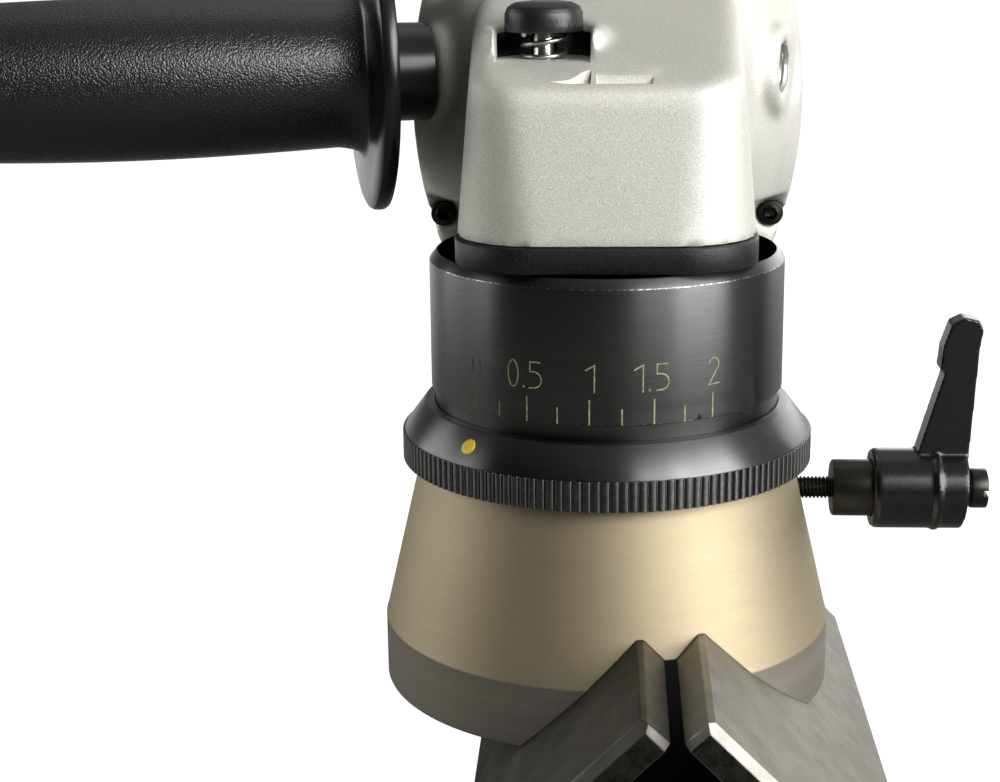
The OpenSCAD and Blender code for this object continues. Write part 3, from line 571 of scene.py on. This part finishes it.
def close_rings(made, rings):
    """Walls between each ring of corners and the next, and a face over the first and the last."""
    for low, high in zip(rings, rings[1:]):
        for i in range(len(low)):
            j = (i + 1) % len(low)
            made.faces.new((low[i], low[j], high[j], high[i]))
    made.faces.new(list(reversed(rings[0])))
    made.faces.new(rings[-1])


def screw_thread(name, major, pitch, z_low, z_high, depth, fade):
    """A rod with a V thread on it, in mm; it fades out over this many turns at each end."""
    sides = 72
    rows = int((z_high - z_low) / pitch * 10) + 1
    made = bmesh.new()
    rings = []
    for row in range(rows + 1):
        z = z_low + (z_high - z_low) * row / rows
        near_end = min(z - z_low, z_high - z) / (fade * pitch)
        ring = []
        for side in range(sides):
            turn = side / sides
            wave = abs(2 * (((z - z_low) / pitch - turn) % 1.0) - 1)
            # the V's sides run past 0 and 1, which leaves its root and its crest flat
            crest = min(1.0, max(0.0, wave * 1.35 - 0.12))
            radius = major - depth * (1 - crest) - depth * max(0.0, 1 - near_end) * crest
            ring.append(made.verts.new(polar(radius, 2 * math.pi * turn, z)))
        rings.append(ring)
    close_rings(made, rings)
    return from_bmesh(name, made)


def wire(name, points, radius):
    """Round wire of this radius in mm through the points, with flat ends."""
    sides = 12
    made = bmesh.new()
    rings = []
    for k, point in enumerate(points):
        ahead = Vector(points[min(k + 1, len(points) - 1)]) - Vector(points[max(k - 1, 0)])
        ahead.normalize()
        across = ahead.cross(Vector((0, 0, 1)))
        across = across.normalized() if across.length > 1e-6 else Vector((1, 0, 0))
        third = ahead.cross(across)
        ring = []
        for side in range(sides):
            angle = 2 * math.pi * side / sides
            out = math.cos(angle) * across + math.sin(angle) * third
            ring.append(made.verts.new((Vector(point) + radius * out) * MM))
        rings.append(ring)
    close_rings(made, rings)
    return from_bmesh(name, made)


def spring(name, mean_r, wire_r, height, turns, closed, start=0.0):
    """A compression spring about Z from 0 to height in mm; closed turns lie flat at each end."""
    steps = int(turns * 32)
    points = []
    for k in range(steps + 1):
        turn = turns * k / steps
        share = (turn - closed) / (turns - 2 * closed)
        share = min(1.0, max(0.0, share))
        # part of the rise eases in and out, so that the coil leaves its flat turns softly
        share = share * share * (3 - 2 * share) * 0.35 + share * 0.65
        z = wire_r + share * (height - 2 * wire_r)
        angle = start + 2 * math.pi * turn
        points.append((mean_r * math.cos(angle), mean_r * math.sin(angle), z))
    return wire(name, points, wire_r)


def round_pattern(unit, copies, finish):
    """The unit's mesh repeated round Z by Geometry Nodes, as one plain mesh."""
    tree = bpy.data.node_groups.new("round_pattern", "GeometryNodeTree")
    tree.interface.new_socket("Geometry", in_out="INPUT", socket_type="NodeSocketGeometry")
    tree.interface.new_socket("Geometry", in_out="OUTPUT", socket_type="NodeSocketGeometry")
    count = tree.interface.new_socket("Copies", in_out="INPUT", socket_type="NodeSocketInt")
    given = add(tree, "NodeGroupInput")
    index = add(tree, "GeometryNodeInputIndex")
    step = join(tree, 2 * math.pi, given.outputs["Copies"], operation="DIVIDE")
    angle = join(tree, index.outputs[0], step, operation="MULTIPLY")
    turn = add(tree, "ShaderNodeCombineXYZ", {"Z": angle})
    points = add(tree, "GeometryNodePoints", {"Count": given.outputs["Copies"]})
    placed = add(tree, "GeometryNodeInstanceOnPoints", {
        "Points": points.outputs[0], "Instance": given.outputs["Geometry"],
        "Rotation": turn.outputs[0]})
    real = add(tree, "GeometryNodeRealizeInstances", {"Geometry": placed.outputs[0]})
    painted = add(tree, "GeometryNodeSetMaterial", {
        "Geometry": real.outputs[0], "Material": finish})
    add(tree, "NodeGroupOutput", {"Geometry": painted.outputs[0]})
    repeat = unit.modifiers.new("repeat", "NODES")
    repeat.node_group = tree
    repeat[count.identifier] = copies
    return applied(unit)


def take_place(piece, node, sharp_over=34):
    """The piece stands for this CAD node: its body, slot and finish become the piece's."""
    slot = SLOT_OF[node]
    piece.data.materials.clear()
    piece.data.materials.append(FINISH[slot])
    for polygon in piece.data.polygons:
        polygon.material_index = 0
    smooth(piece, sharp_over)
    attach(piece, BODY_OF[node])
    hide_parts(node)


def shifted(x, y, z):
    """A shift by millimetres."""
    return Matrix.Translation((x * MM, y * MM, z * MM))


# The motor's axis backwards and the clamp stud's axis to the right, each as a local +Z
AT_MOTOR = shifted(0, 0, MOTOR_Z) @ Matrix.Rotation(-math.pi / 2, 4, "X")
AT_CLAMP = shifted(0, 0, CLAMP_Z) @ Matrix.Rotation(math.pi / 2, 4, "Y")

# Middle of the right socket's mouth, and how far both sockets lean forwards in degrees
SOCKET_X, SOCKET_Y, SOCKET_Z = 48, 33, 178.9
SOCKET_LEAN = 15


def at_socket(side):
    """The frame of a side handle's socket, whose +Z leaves its mouth: side is 1 on the right."""
    return (shifted(side * SOCKET_X, SOCKET_Y, SOCKET_Z)
            @ Matrix.Rotation(math.radians(-side * SOCKET_LEAN), 4, "Z")
            @ Matrix.Rotation(side * math.pi / 2, 4, "Y"))


# ---------------------------------------------------------------- gear case

# Seat of the case on the bearing plate, the front and back of its motor flange, and how far from
# a seat the skin becomes free to soften
CASE_SEAT_Z = 143.2
FLANGE_FRONT_Y = 46.2
FLANGE_BACK_Y = 57.6
SOFT_FROM = 3.0

# Spindle lock: the button's axis, and the floor and radius of the pocket round it
BUTTON_X, BUTTON_Y = -15.6, -8.0
POCKET_Z = 185.5
POCKET_R = 11.7

# Middle of the rotation arrow, and the slope of the case there in degrees
ARROW_Y, ARROW_Z = -32.5, 182.56
ARROW_SLOPE = 20

# Radius at the mouth of the sockets, and their depth
SOCKET_MOUTH_R = 7.3
SOCKET_DEPTH = 21


def pocket_outline():
    """The lock's pocket from above: a round end that opens forwards."""
    x, y, r = BUTTON_X, BUTTON_Y, POCKET_R
    back = [(x + r * math.cos(a), y + r * math.sin(a)) for a in np.linspace(0, math.pi, 33)]
    return back + [(x - r, y - 30), (x + r, y - 30)]


def case_freedom(place):
    """The case's skin is free to soften, but not at its seats on the plate and the motor."""
    before_motor = (FLANGE_BACK_Y - place.y) / SOFT_FROM
    above_seat = (place.z - CASE_SEAT_Z - 0.4) / SOFT_FROM if place.y < FLANGE_FRONT_Y else 1.0
    return min(1.0, max(0.0, min(above_seat, before_motor)))


def arrow_tools():
    """The rotation arrow's tail and head as two shallow wedges to be cut into the case."""
    tail = tapered_prism(
        "arrow_tail",
        [(-2.5, 1.25), (11.4, 1.25), (11.4, -4.8), (-2.5, -4.8)],
        [(-2.2, -0.4), (10.7, -0.4), (10.7, -0.8), (-2.2, -0.8)], z_top=1.0, z_foot=-1.2)
    head = tapered_prism(
        "arrow_head",
        [(-14.6, -1.9), (-3.55, 2.9), (-3.55, -5.0)],
        [(-12.4, -0.9), (-3.9, 0.0), (-3.9, -0.6)], z_top=1.0, z_foot=-1.2)
    at_arrow = (shifted(0, ARROW_Y, ARROW_Z)
                @ Matrix.Rotation(math.radians(ARROW_SLOPE), 4, "X"))
    return [moved(tool, at_arrow) for tool in (tail, head)]


def gear_case():
    """The blasted casting: a soft skin, crisp threaded sockets, an arrow and the lock's pocket,
    whose walls are painted black as painted shade.
    """
    case = cast_over("gear_case", "gear_case_skin", voxel=1.15, rounds=16, freedom=case_freedom)
    tools = []
    for side in (-1, 1):
        mouth = turned("mouth", [
            (0, -SOCKET_DEPTH), (6.4, -SOCKET_DEPTH), (6.4, -1.0), (SOCKET_MOUTH_R, 0.05),
            (SOCKET_MOUTH_R, 3), (0, 3)], 72)
        thread = screw_thread("socket_thread", major=7.05, pitch=2.0, z_low=-20.5, z_high=0.5,
                              depth=0.9, fade=0.2)
        tools += [moved(tool, at_socket(side)) for tool in (mouth, thread)]
    tools.append(prism("pocket", pocket_outline(), POCKET_Z, 200))
    cut(case, *tools, *arrow_tools())
    take_place(case, "gear_case", sharp_over=50)
    case.data.materials.append(FINISH["machined"])
    case.data.materials.append(FINISH["lever_zinc"])
    into = [at_socket(side).inverted() for side in (-1, 1)]
    for polygon in case.data.polygons:
        for turn in into:
            place = (turn @ polygon.center) / MM
            if (math.hypot(place.x, place.y) < SOCKET_MOUTH_R + 0.02
                    and -SOCKET_DEPTH - 1 < place.z < 0.2):
                polygon.material_index = 1
        # painted shade: the walls inside the lock's pocket take the black powder coat
        place = polygon.center / MM
        from_button = math.hypot(place.x - BUTTON_X, place.y - BUTTON_Y)
        if place.z > POCKET_Z + 0.05 and from_button < POCKET_R + 0.02:
            polygon.material_index = 2


# ---------------------------------------------------------------- head, clamp, handles and rails

# Flats round the knurl
KNURLS = 148


def depth_ring():
    """Knurled ring: a turned body, and its knurl's flats as a pattern round it."""
    body = turned("ring_body", [
        (45.05, 86.3), (45.05, 96.3), (45.35, 96.6), (47.6, 96.6), (47.9, 96.45), (53.25, 89.25),
        (53.3, 89.1), (53.35, 88.9), (53.35, 81.45), (53.1, 81.2), (47.45, 81.2), (47.45, 82.6),
        (48.6, 82.6), (48.6, 84.6), (47.45, 84.6), (47.45, 86.3)], 256)
    flat = prism("knurl_flat", [
        (53.0, -0.96), (53.55, -0.96), (53.87, -0.72), (KNURL_CREST, 0.0), (53.87, 0.72),
        (53.55, 0.96), (53.0, 0.96)], 81.35, 88.95)
    edged(flat, 0.12, 1, over=50)
    knurl = round_pattern(flat, KNURLS, FINISH["black_anodised"])
    take_place(joined("depth_ring_body", body, knurl), "depth_ring")


def stroke(points, width):
    """A flat stroke through (x, y) points in mm, as quads."""
    path = [Vector(p) for p in points]
    quads = []
    for a, b in zip(path, path[1:]):
        ahead = (b - a).normalized()
        across = Vector((-ahead.y, ahead.x)) * width / 2
        reach = ahead * width / 2
        quads.append([a - across - reach, b - across + reach,
                      b + across + reach, a + across - reach])
    return quads


def arc(cx, cy, rx, ry, start, end, count=14):
    """Points on an elliptic arc, angles in degrees."""
    return [(cx + rx * math.cos(math.radians(a)), cy + ry * math.sin(math.radians(a)))
            for a in np.linspace(start, end, count)]


# Each figure's width and its strokes, in mm from its lower left corner
DIGITS = {
    "0": (2.9, [arc(1.45, 3.35, 1.4, 3.3, 90, 450, 28)]),
    "1": (2.3, [[(0.0, 5.4), (2.1, 6.6), (2.05, 0)]]),
    "2": (3.3, [arc(1.55, 5.1, 1.45, 1.6, 165, -25, 14) + [(0.1, 0.1), (3.3, 0.25)]]),
    "5": (3.4, [[(3.0, 6.6), (0.3, 6.6), (0.3, 4.2), (1.3, 4.2)]
                + arc(1.3, 2.2, 2.0, 2.0, 85, -85, 14) + [(0.2, 0.15)]]),
    ".": (0.7, [[(0.15, 0.3), (0.5, 0.3)], [(0.33, 0.15), (0.33, 0.5)]]),
}

# The scale: a radius just outside the sleeve, the azimuths in degrees of its 0 and of the dark
# triangle, the angle from its 0 to its 2, the foot of its figures, and the gap between figures
SCALE_R = 46.03
SCALE_ZERO = -134.3
SCALE_SWEEP = 78.7
TRIANGLE_AT = -60.4
FIGURES_Z = 109.2
FIGURE_GAP = 1.1
QUARTERS = 8


def on_sleeve(name, faces, azimuth, z):
    """Flat faces wrapped on the sleeve, drawn upwards from a point at this azimuth."""
    made = bmesh.new()
    for face in faces:
        made.faces.new([made.verts.new(polar(
            SCALE_R, math.radians(azimuth) + p.x / SCALE_R, z + p.y)) for p in face])
    return from_bmesh(name, made)


def figures(text, azimuth):
    """The figures of one number over its tick: a lone one a little right, others a little left."""
    whole = sum(DIGITS[figure][0] for figure in text) + FIGURE_GAP * (len(text) - 1)
    x = -whole / 2 + (0.3 if len(text) == 1 else -0.6)
    pieces = []
    for figure in text:
        width, lines = DIGITS[figure]
        quads = []
        for line in lines:
            quads += stroke([(x + px, py) for px, py in line], 0.33)
        pieces.append(on_sleeve("figure", quads, azimuth, FIGURES_Z))
        x += width + FIGURE_GAP
    return pieces


def scale_marks():
    """The depth scale on the sleeve: a tick for each quarter mm of chamfer, and the figures."""
    pieces = []
    for quarter in range(QUARTERS + 1):
        azimuth = SCALE_ZERO + quarter * SCALE_SWEEP / QUARTERS
        numbered = quarter % 2 == 0
        tick = stroke([(0, 0.2), (0, 6.1 if numbered else 3.9)], 0.4)
        pieces.append(on_sleeve("tick", tick, azimuth, SLEEVE_FOOT))
        if numbered:
            pieces += figures(f"{quarter / 4:g}", azimuth)
    triangle = [[Vector((-0.85, 0.1)), Vector((0.85, 0.1)), Vector((0.0, 1.6))]]
    pieces.append(on_sleeve("triangle", triangle, TRIANGLE_AT, SLEEVE_FOOT))
    marks = joined("scale_marks", *pieces)
    marks.data.materials.append(worn_lettering())
    marks.data.materials.append(FINISH["lever_zinc"])
    # only the triangle has three corners
    for polygon in marks.data.polygons:
        polygon.material_index = 1 if len(polygon.vertices) == 3 else 0
    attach(marks, "machine")


def clamp_parts():
    """The clamp's threaded stud with its bush, and the lever's spring."""
    rod = screw_thread("stud_thread", major=2.97, pitch=1.0, z_low=47.5, z_high=60.2,
                       depth=0.54, fade=1.0)
    bush = turned("bush", [
        (0, 59.9), (6.9, 59.9), (7.3, 60.1), (7.5, 60.5), (7.55, 71.2), (7.3, 71.5),
        (6.2, 71.6), (6.2, 78), (2.55, 78), (2.55, 70), (0, 70)], 96)
    take_place(moved(joined("clamp_stud_turned", rod, bush), AT_CLAMP), "clamp_stud")
    coil = spring("lever_coil", mean_r=3.5, wire_r=0.45, height=7.1, turns=5.2, closed=0.8)
    take_place(moved(coil, AT_CLAMP @ shifted(0, 0, 89)), "lever_spring")


def lock_spring():
    """The spindle lock's spring, which the button squashes."""
    coil = spring("lock_coil", mean_r=5.4, wire_r=0.6, height=6.5, turns=2.1, closed=0.3,
                  start=math.radians(170))
    moved(coil, shifted(BUTTON_X, BUTTON_Y, POCKET_Z))
    take_place(coil, "lock_spring")
    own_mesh(coil)


def side_grip():
    """The side handle: leather-grained palm, and a smooth guard disc that flows into it."""
    length = 145
    palm_start = 20.6
    palm = [(19.4 + 1.9 * math.sin(math.pi * (s - 20) / (length - 24)), s)
            for s in range(26, length - 9, 3)]
    grip = turned("side_grip_moulding", [
        (0, 30), (6.9, 30), (6.9, 0.1), (12.5, 0.1), (13.1, 0.7), (13.2, 13.2), (13.7, 13.6),
        (35.4, 13.6), (36.4, 13.9), (36.9, 14.7), (37.0, 15.6), (36.9, 16.9), (36.4, 17.8),
        (35.2, 18.4), (30, 18.8), (23.5, 19.2), (22.0, 19.7), (21.0, palm_start),
        (20.4, 22.0), (20.0, 24)] + palm + [
        (20.6, length - 8), (20.9, length - 5.5), (20.3, length - 2.6), (18.4, length - 0.9),
        (15, length - 0.1), (0, length)], 160)
    take_place(moved(grip, at_socket(-1)), "side_grip")
    grip.data.materials.append(FINISH["smooth_grip"])
    back = at_socket(-1).inverted()
    for polygon in grip.data.polygons:
        if (back @ polygon.center).z < palm_start * MM:
            polygon.material_index = 1


def slot_shade_ring():
    """A black ring behind the handle's air slots, put there as painted shade, so that the slots
    look black through it.
    """
    screen = turned("slot_shade_ring", [
        (41.1, 199), (40.8, 206.8), (37.4, 216.2), (28.9, 226.9),
        (29.6, 227.4), (38.2, 216.6), (41.6, 207), (41.9, 199)], 96)
    moved(screen, AT_MOTOR)
    screen.data.materials.append(FINISH["black_plastic"])
    smooth(screen)
    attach(screen, "machine")


# Front and back end of the rails, and the bevel at the inside of each
RAIL_ENDS = (-104, 90)
END_BEVEL = 1.8

# A face larger than this, in square millimetres, is ground flat and shaded flat
GROUND_FLAT = 60

# How close to a direction a face's normal has to be to count as facing it, as a cosine
FACING = 0.95


def inner_end_edge(edge, side):
    """Whether this is the short sloping edge at the top of a rail's end, next to the other rail.

    side is 1 on the right.
    """
    a, b = (v.co / MM for v in edge.verts)
    along = b - a
    on_end = min(abs(a.y - y) + abs(b.y - y) for y in RAIL_ENDS) < 0.2
    at_top = side * ((a.x + b.x) / 2 - RAILS_X) < 8 and (a.z + b.z) / 2 > 36
    sloping = abs(abs(along.x) - abs(along.z)) < 0.5
    return on_end and at_top and sloping and 5 < along.length < 12


def rails():
    """The V's two ground plates, with the bevels round their ends, which are painted dark as
    painted shade.
    """
    for node, side in (("left_rail", -1), ("right_rail", 1)):
        piece = cleaned_copy(node, node + "_ground")
        made = bmesh.new()
        made.from_mesh(piece.data)
        inner = [edge for edge in made.edges if inner_end_edge(edge, side)]
        bmesh.ops.bevel(made, geom=inner, offset=END_BEVEL * MM, segments=1, affect="EDGES")
        made.to_mesh(piece.data)
        made.free()
        edged(piece, 0.3)
        take_place(piece, node)
        piece.data.materials.append(FINISH["rail_end"])
        for polygon in piece.data.polygons:
            if polygon.area > GROUND_FLAT * MM ** 2:
                polygon.use_smooth = False
            # painted shade: the end faces take the dark end finish
            if abs(polygon.normal.y) > FACING:
                polygon.material_index = 1


def true_round(piece, from_radius):
    """Gives a turned piece's outside the normals of its lathe curve, whatever cuts its faces."""
    mesh = piece.data
    normals = [corner.vector.copy() for corner in mesh.corner_normals]
    for polygon in mesh.polygons:
        out = Vector((polygon.center.x, polygon.center.y, 0))
        tilt = polygon.normal.z
        if out.length < from_radius * MM or polygon.normal.dot(out.normalized()) < FACING:
            continue
        for corner in polygon.loop_indices:
            place = mesh.vertices[mesh.loops[corner].vertex_index].co
            around = Vector((place.x, place.y, 0)).normalized() * math.sqrt(1 - tilt ** 2)
            normals[corner] = around + Vector((0, 0, tilt))
    mesh.normals_split_custom_set(normals)


# Nodes that keep their CAD form, with the width of the bevel on their edges; 0 is none
EDGES = {
    "guide_body": 0.3, "index_dot": 0.2, "scale_sleeve": 0.25,
    "bearing_plate": 0.5, "motor_housing": 0.6, "grip_stud": 0.0,
    "rear_handle_left": 0.4, "rear_handle_right": 0.4, "switch_paddle": 1.2, "cord_gland": 0.6,
    "lever_screw": 0.25, "lock_button": 0.0, "lock_pin": 0.2, "flange_screws": 0.25,
    "handle_screws": 0.2, "rail_screws": 0.2, "cutter_head": 0.3, "cutter_bolt": 0.2,
    "guide_pin": 0.2, "paddle_pin": 0.2, "retaining_ring": 0.1,
}


def edged_nodes():
    """The plainer nodes get rounded edges and smooth curves."""
    for node, width in EDGES.items():
        piece = cleaned_copy(node, node + "_edged")
        if width:
            edged(piece, width)
        take_place(piece, node)
        if node == "guide_body":
            true_round(piece, 46)


gear_case()
depth_ring()
scale_marks()
clamp_parts()
lock_spring()
take_place(cast_over("clamp_lever", "clamp_lever_cast", voxel=0.45, rounds=5), "clamp_lever",
           sharp_over=60)
side_grip()
rails()
slot_shade_ring()
edged_nodes()


# ---------------------------------------------------------------- camera, floor and lights

# Camera: focal length for a film 36 mm wide, place, and angles in degrees
LENS = 67.79
FILM = 36.0
CAMERA_AT = (0.0, -483.31, 223.63)
PITCH, YAW, ROLL = 14.604, 3.325, 0.708

# Softboxes aimed at the object: azimuth from the front towards the right and elevation in
# degrees, distance, width and height in metres, and radiance
SOFTBOXES = {
    "window": (62, 22, 1.25, 0.8, 0.95, 9.8),
    "front": (33, 30, 1.25, 0.55, 0.6, 7.8),
    "left": (-100, 14, 1.2, 1.1, 0.7, 2.8),
    "right_back": (148, 10, 1.2, 1.1, 0.5, 2.2),
    "above_behind": (172, 68, 1.3, 1.0, 0.7, 0.4),
}

# The painted shade on the ground under the rails: its middle and its size
PAINTED_SHADE_MIDDLE = (19.7, -7)
PAINTED_SHADE_SIZE = (104, 192)

# The floor's glow behind the object on the left, painted light: where it fades in along Y and
# fades out along X, in metres, and its strength
GLOW_Y = (0.25, 0.7)
GLOW_X = (-0.25, 0.05)
GLOW = 0.8

# The backdrop: its brightness to the camera, the way towards its brightest light, and the
# dimmest and brightest light it gives
BACKDROP = 1.25
BRIGHT_WAY = (0.84, 0.3, 0.45)
SKY_LIGHT = (0.03, 0.55)


def make_camera():
    """The camera looks down at the object from the front."""
    data = bpy.data.cameras.new("camera")
    data.lens = LENS
    data.sensor_width = FILM
    data.clip_end = 50.0
    camera = bpy.data.objects.new("camera", data)
    bpy.context.scene.collection.objects.link(camera)
    pitch, yaw, roll = (math.radians(a) for a in (PITCH, YAW, ROLL))
    right = Vector((math.cos(yaw), math.sin(yaw), 0))
    ahead = Vector((-math.sin(yaw) * math.cos(pitch), math.cos(yaw) * math.cos(pitch),
                    -math.sin(pitch)))
    up = right.cross(ahead)
    x_axis = math.cos(roll) * right - math.sin(roll) * up
    y_axis = math.sin(roll) * right + math.cos(roll) * up
    turn = Matrix((x_axis, y_axis, -ahead)).transposed()
    camera.matrix_world = Matrix.Translation(Vector(CAMERA_AT) * MM) @ turn.to_4x4()
    bpy.context.scene.camera = camera


def softbox(name, azimuth, elevation, away, width, height, radiance):
    """A rectangular softbox this far from the object's middle, facing it."""
    data = bpy.data.lights.new(name, "AREA")
    data.shape = "RECTANGLE"
    data.size = width
    data.size_y = height
    data.energy = radiance * math.pi * width * height
    lamp = bpy.data.objects.new(name, data)
    bpy.context.scene.collection.objects.link(lamp)
    az, el = math.radians(azimuth), math.radians(elevation)
    way = Vector((math.sin(az) * math.cos(el), -math.cos(az) * math.cos(el), math.sin(el)))
    aim = Vector((0, 0, 0.1))
    lamp.location = aim + away * way
    lamp.rotation_euler = (aim - lamp.location).to_track_quat("-Z", "Y").to_euler()


def for_camera(tree):
    """1 where the camera looks straight at a surface, 0 for the light that it gives."""
    return add(tree, "ShaderNodeLightPath").outputs["Is Camera Ray"]


def studio_sky(tree, back):
    """A plain white backdrop; the light it gives is dim, and brightest from the right."""
    way = add(tree, "ShaderNodeTexCoord").outputs["Generated"]
    towards = add(tree, "ShaderNodeVectorMath", {0: way, 1: BRIGHT_WAY}, operation="DOT_PRODUCT")
    light = ramp(tree, towards.outputs["Value"], -0.35, 0.95, *SKY_LIGHT)
    seen = join(tree, for_camera(tree), BACKDROP, operation="MULTIPLY")
    tree.links.new(join(tree, light, seen, operation="MAXIMUM"), back.inputs["Strength"])
    back.inputs["Color"].default_value = linear("#F6F5F2")


def light_table():
    """A pale floor, lit so evenly that the camera sees it plain white.

    It glows behind the object on the left, as painted light, and under the V rails it is painted
    dark, as painted shade.
    """
    made, tree, shader = start_material("light_table", "#6E6E6B", 0.0, 0.9)
    axes = axes_of(tree)
    # painted shade: under the V rails the floor is near black and gives the camera no white
    beyond = [join(tree, off(tree, axes[axis], middle), size / 2 * MM, operation="GREATER_THAN")
              for axis, middle, size in zip("XY", PAINTED_SHADE_MIDDLE, PAINTED_SHADE_SIZE)]
    outside = join(tree, *beyond, operation="MAXIMUM")
    seen = join(tree, outside, for_camera(tree), operation="MULTIPLY")
    # painted light: the floor glows behind the object on the left
    glow = join(tree, ramp(tree, axes["Y"], *GLOW_Y, 0.0, GLOW),
                ramp(tree, axes["X"], *GLOW_X, 1.0, 0.0), operation="MULTIPLY")
    tree.links.new(join(tree, seen, glow, operation="MAXIMUM"), shader.inputs["Emission Strength"])
    shader.inputs["Emission Color"].default_value = linear("#FFFFFF")
    use(tree, shader, colour=blend(tree, outside, "#0C0C0C", "#6E6E6B"),
        roughness=ramp(tree, noise_of(tree, 60.0), 0.3, 0.7, 0.85, 0.95))
    return made


def make_studio():
    """A white floor and backdrop, two softboxes ahead on the right and three round the back."""
    scene = bpy.context.scene
    scene.view_settings.view_transform = "Standard"
    world = bpy.data.worlds.new("studio")
    scene.world = world
    world.use_nodes = True
    studio_sky(world.node_tree, world.node_tree.nodes["Background"])
    made = bmesh.new()
    bmesh.ops.create_grid(made, x_segments=2, y_segments=2, size=20.0)
    mesh = bpy.data.meshes.new("floor")
    made.to_mesh(mesh)
    made.free()
    mesh.materials.append(light_table())
    new_object("floor", mesh)
    for name, values in SOFTBOXES.items():
        softbox(name, *values)


make_camera()
make_studio()
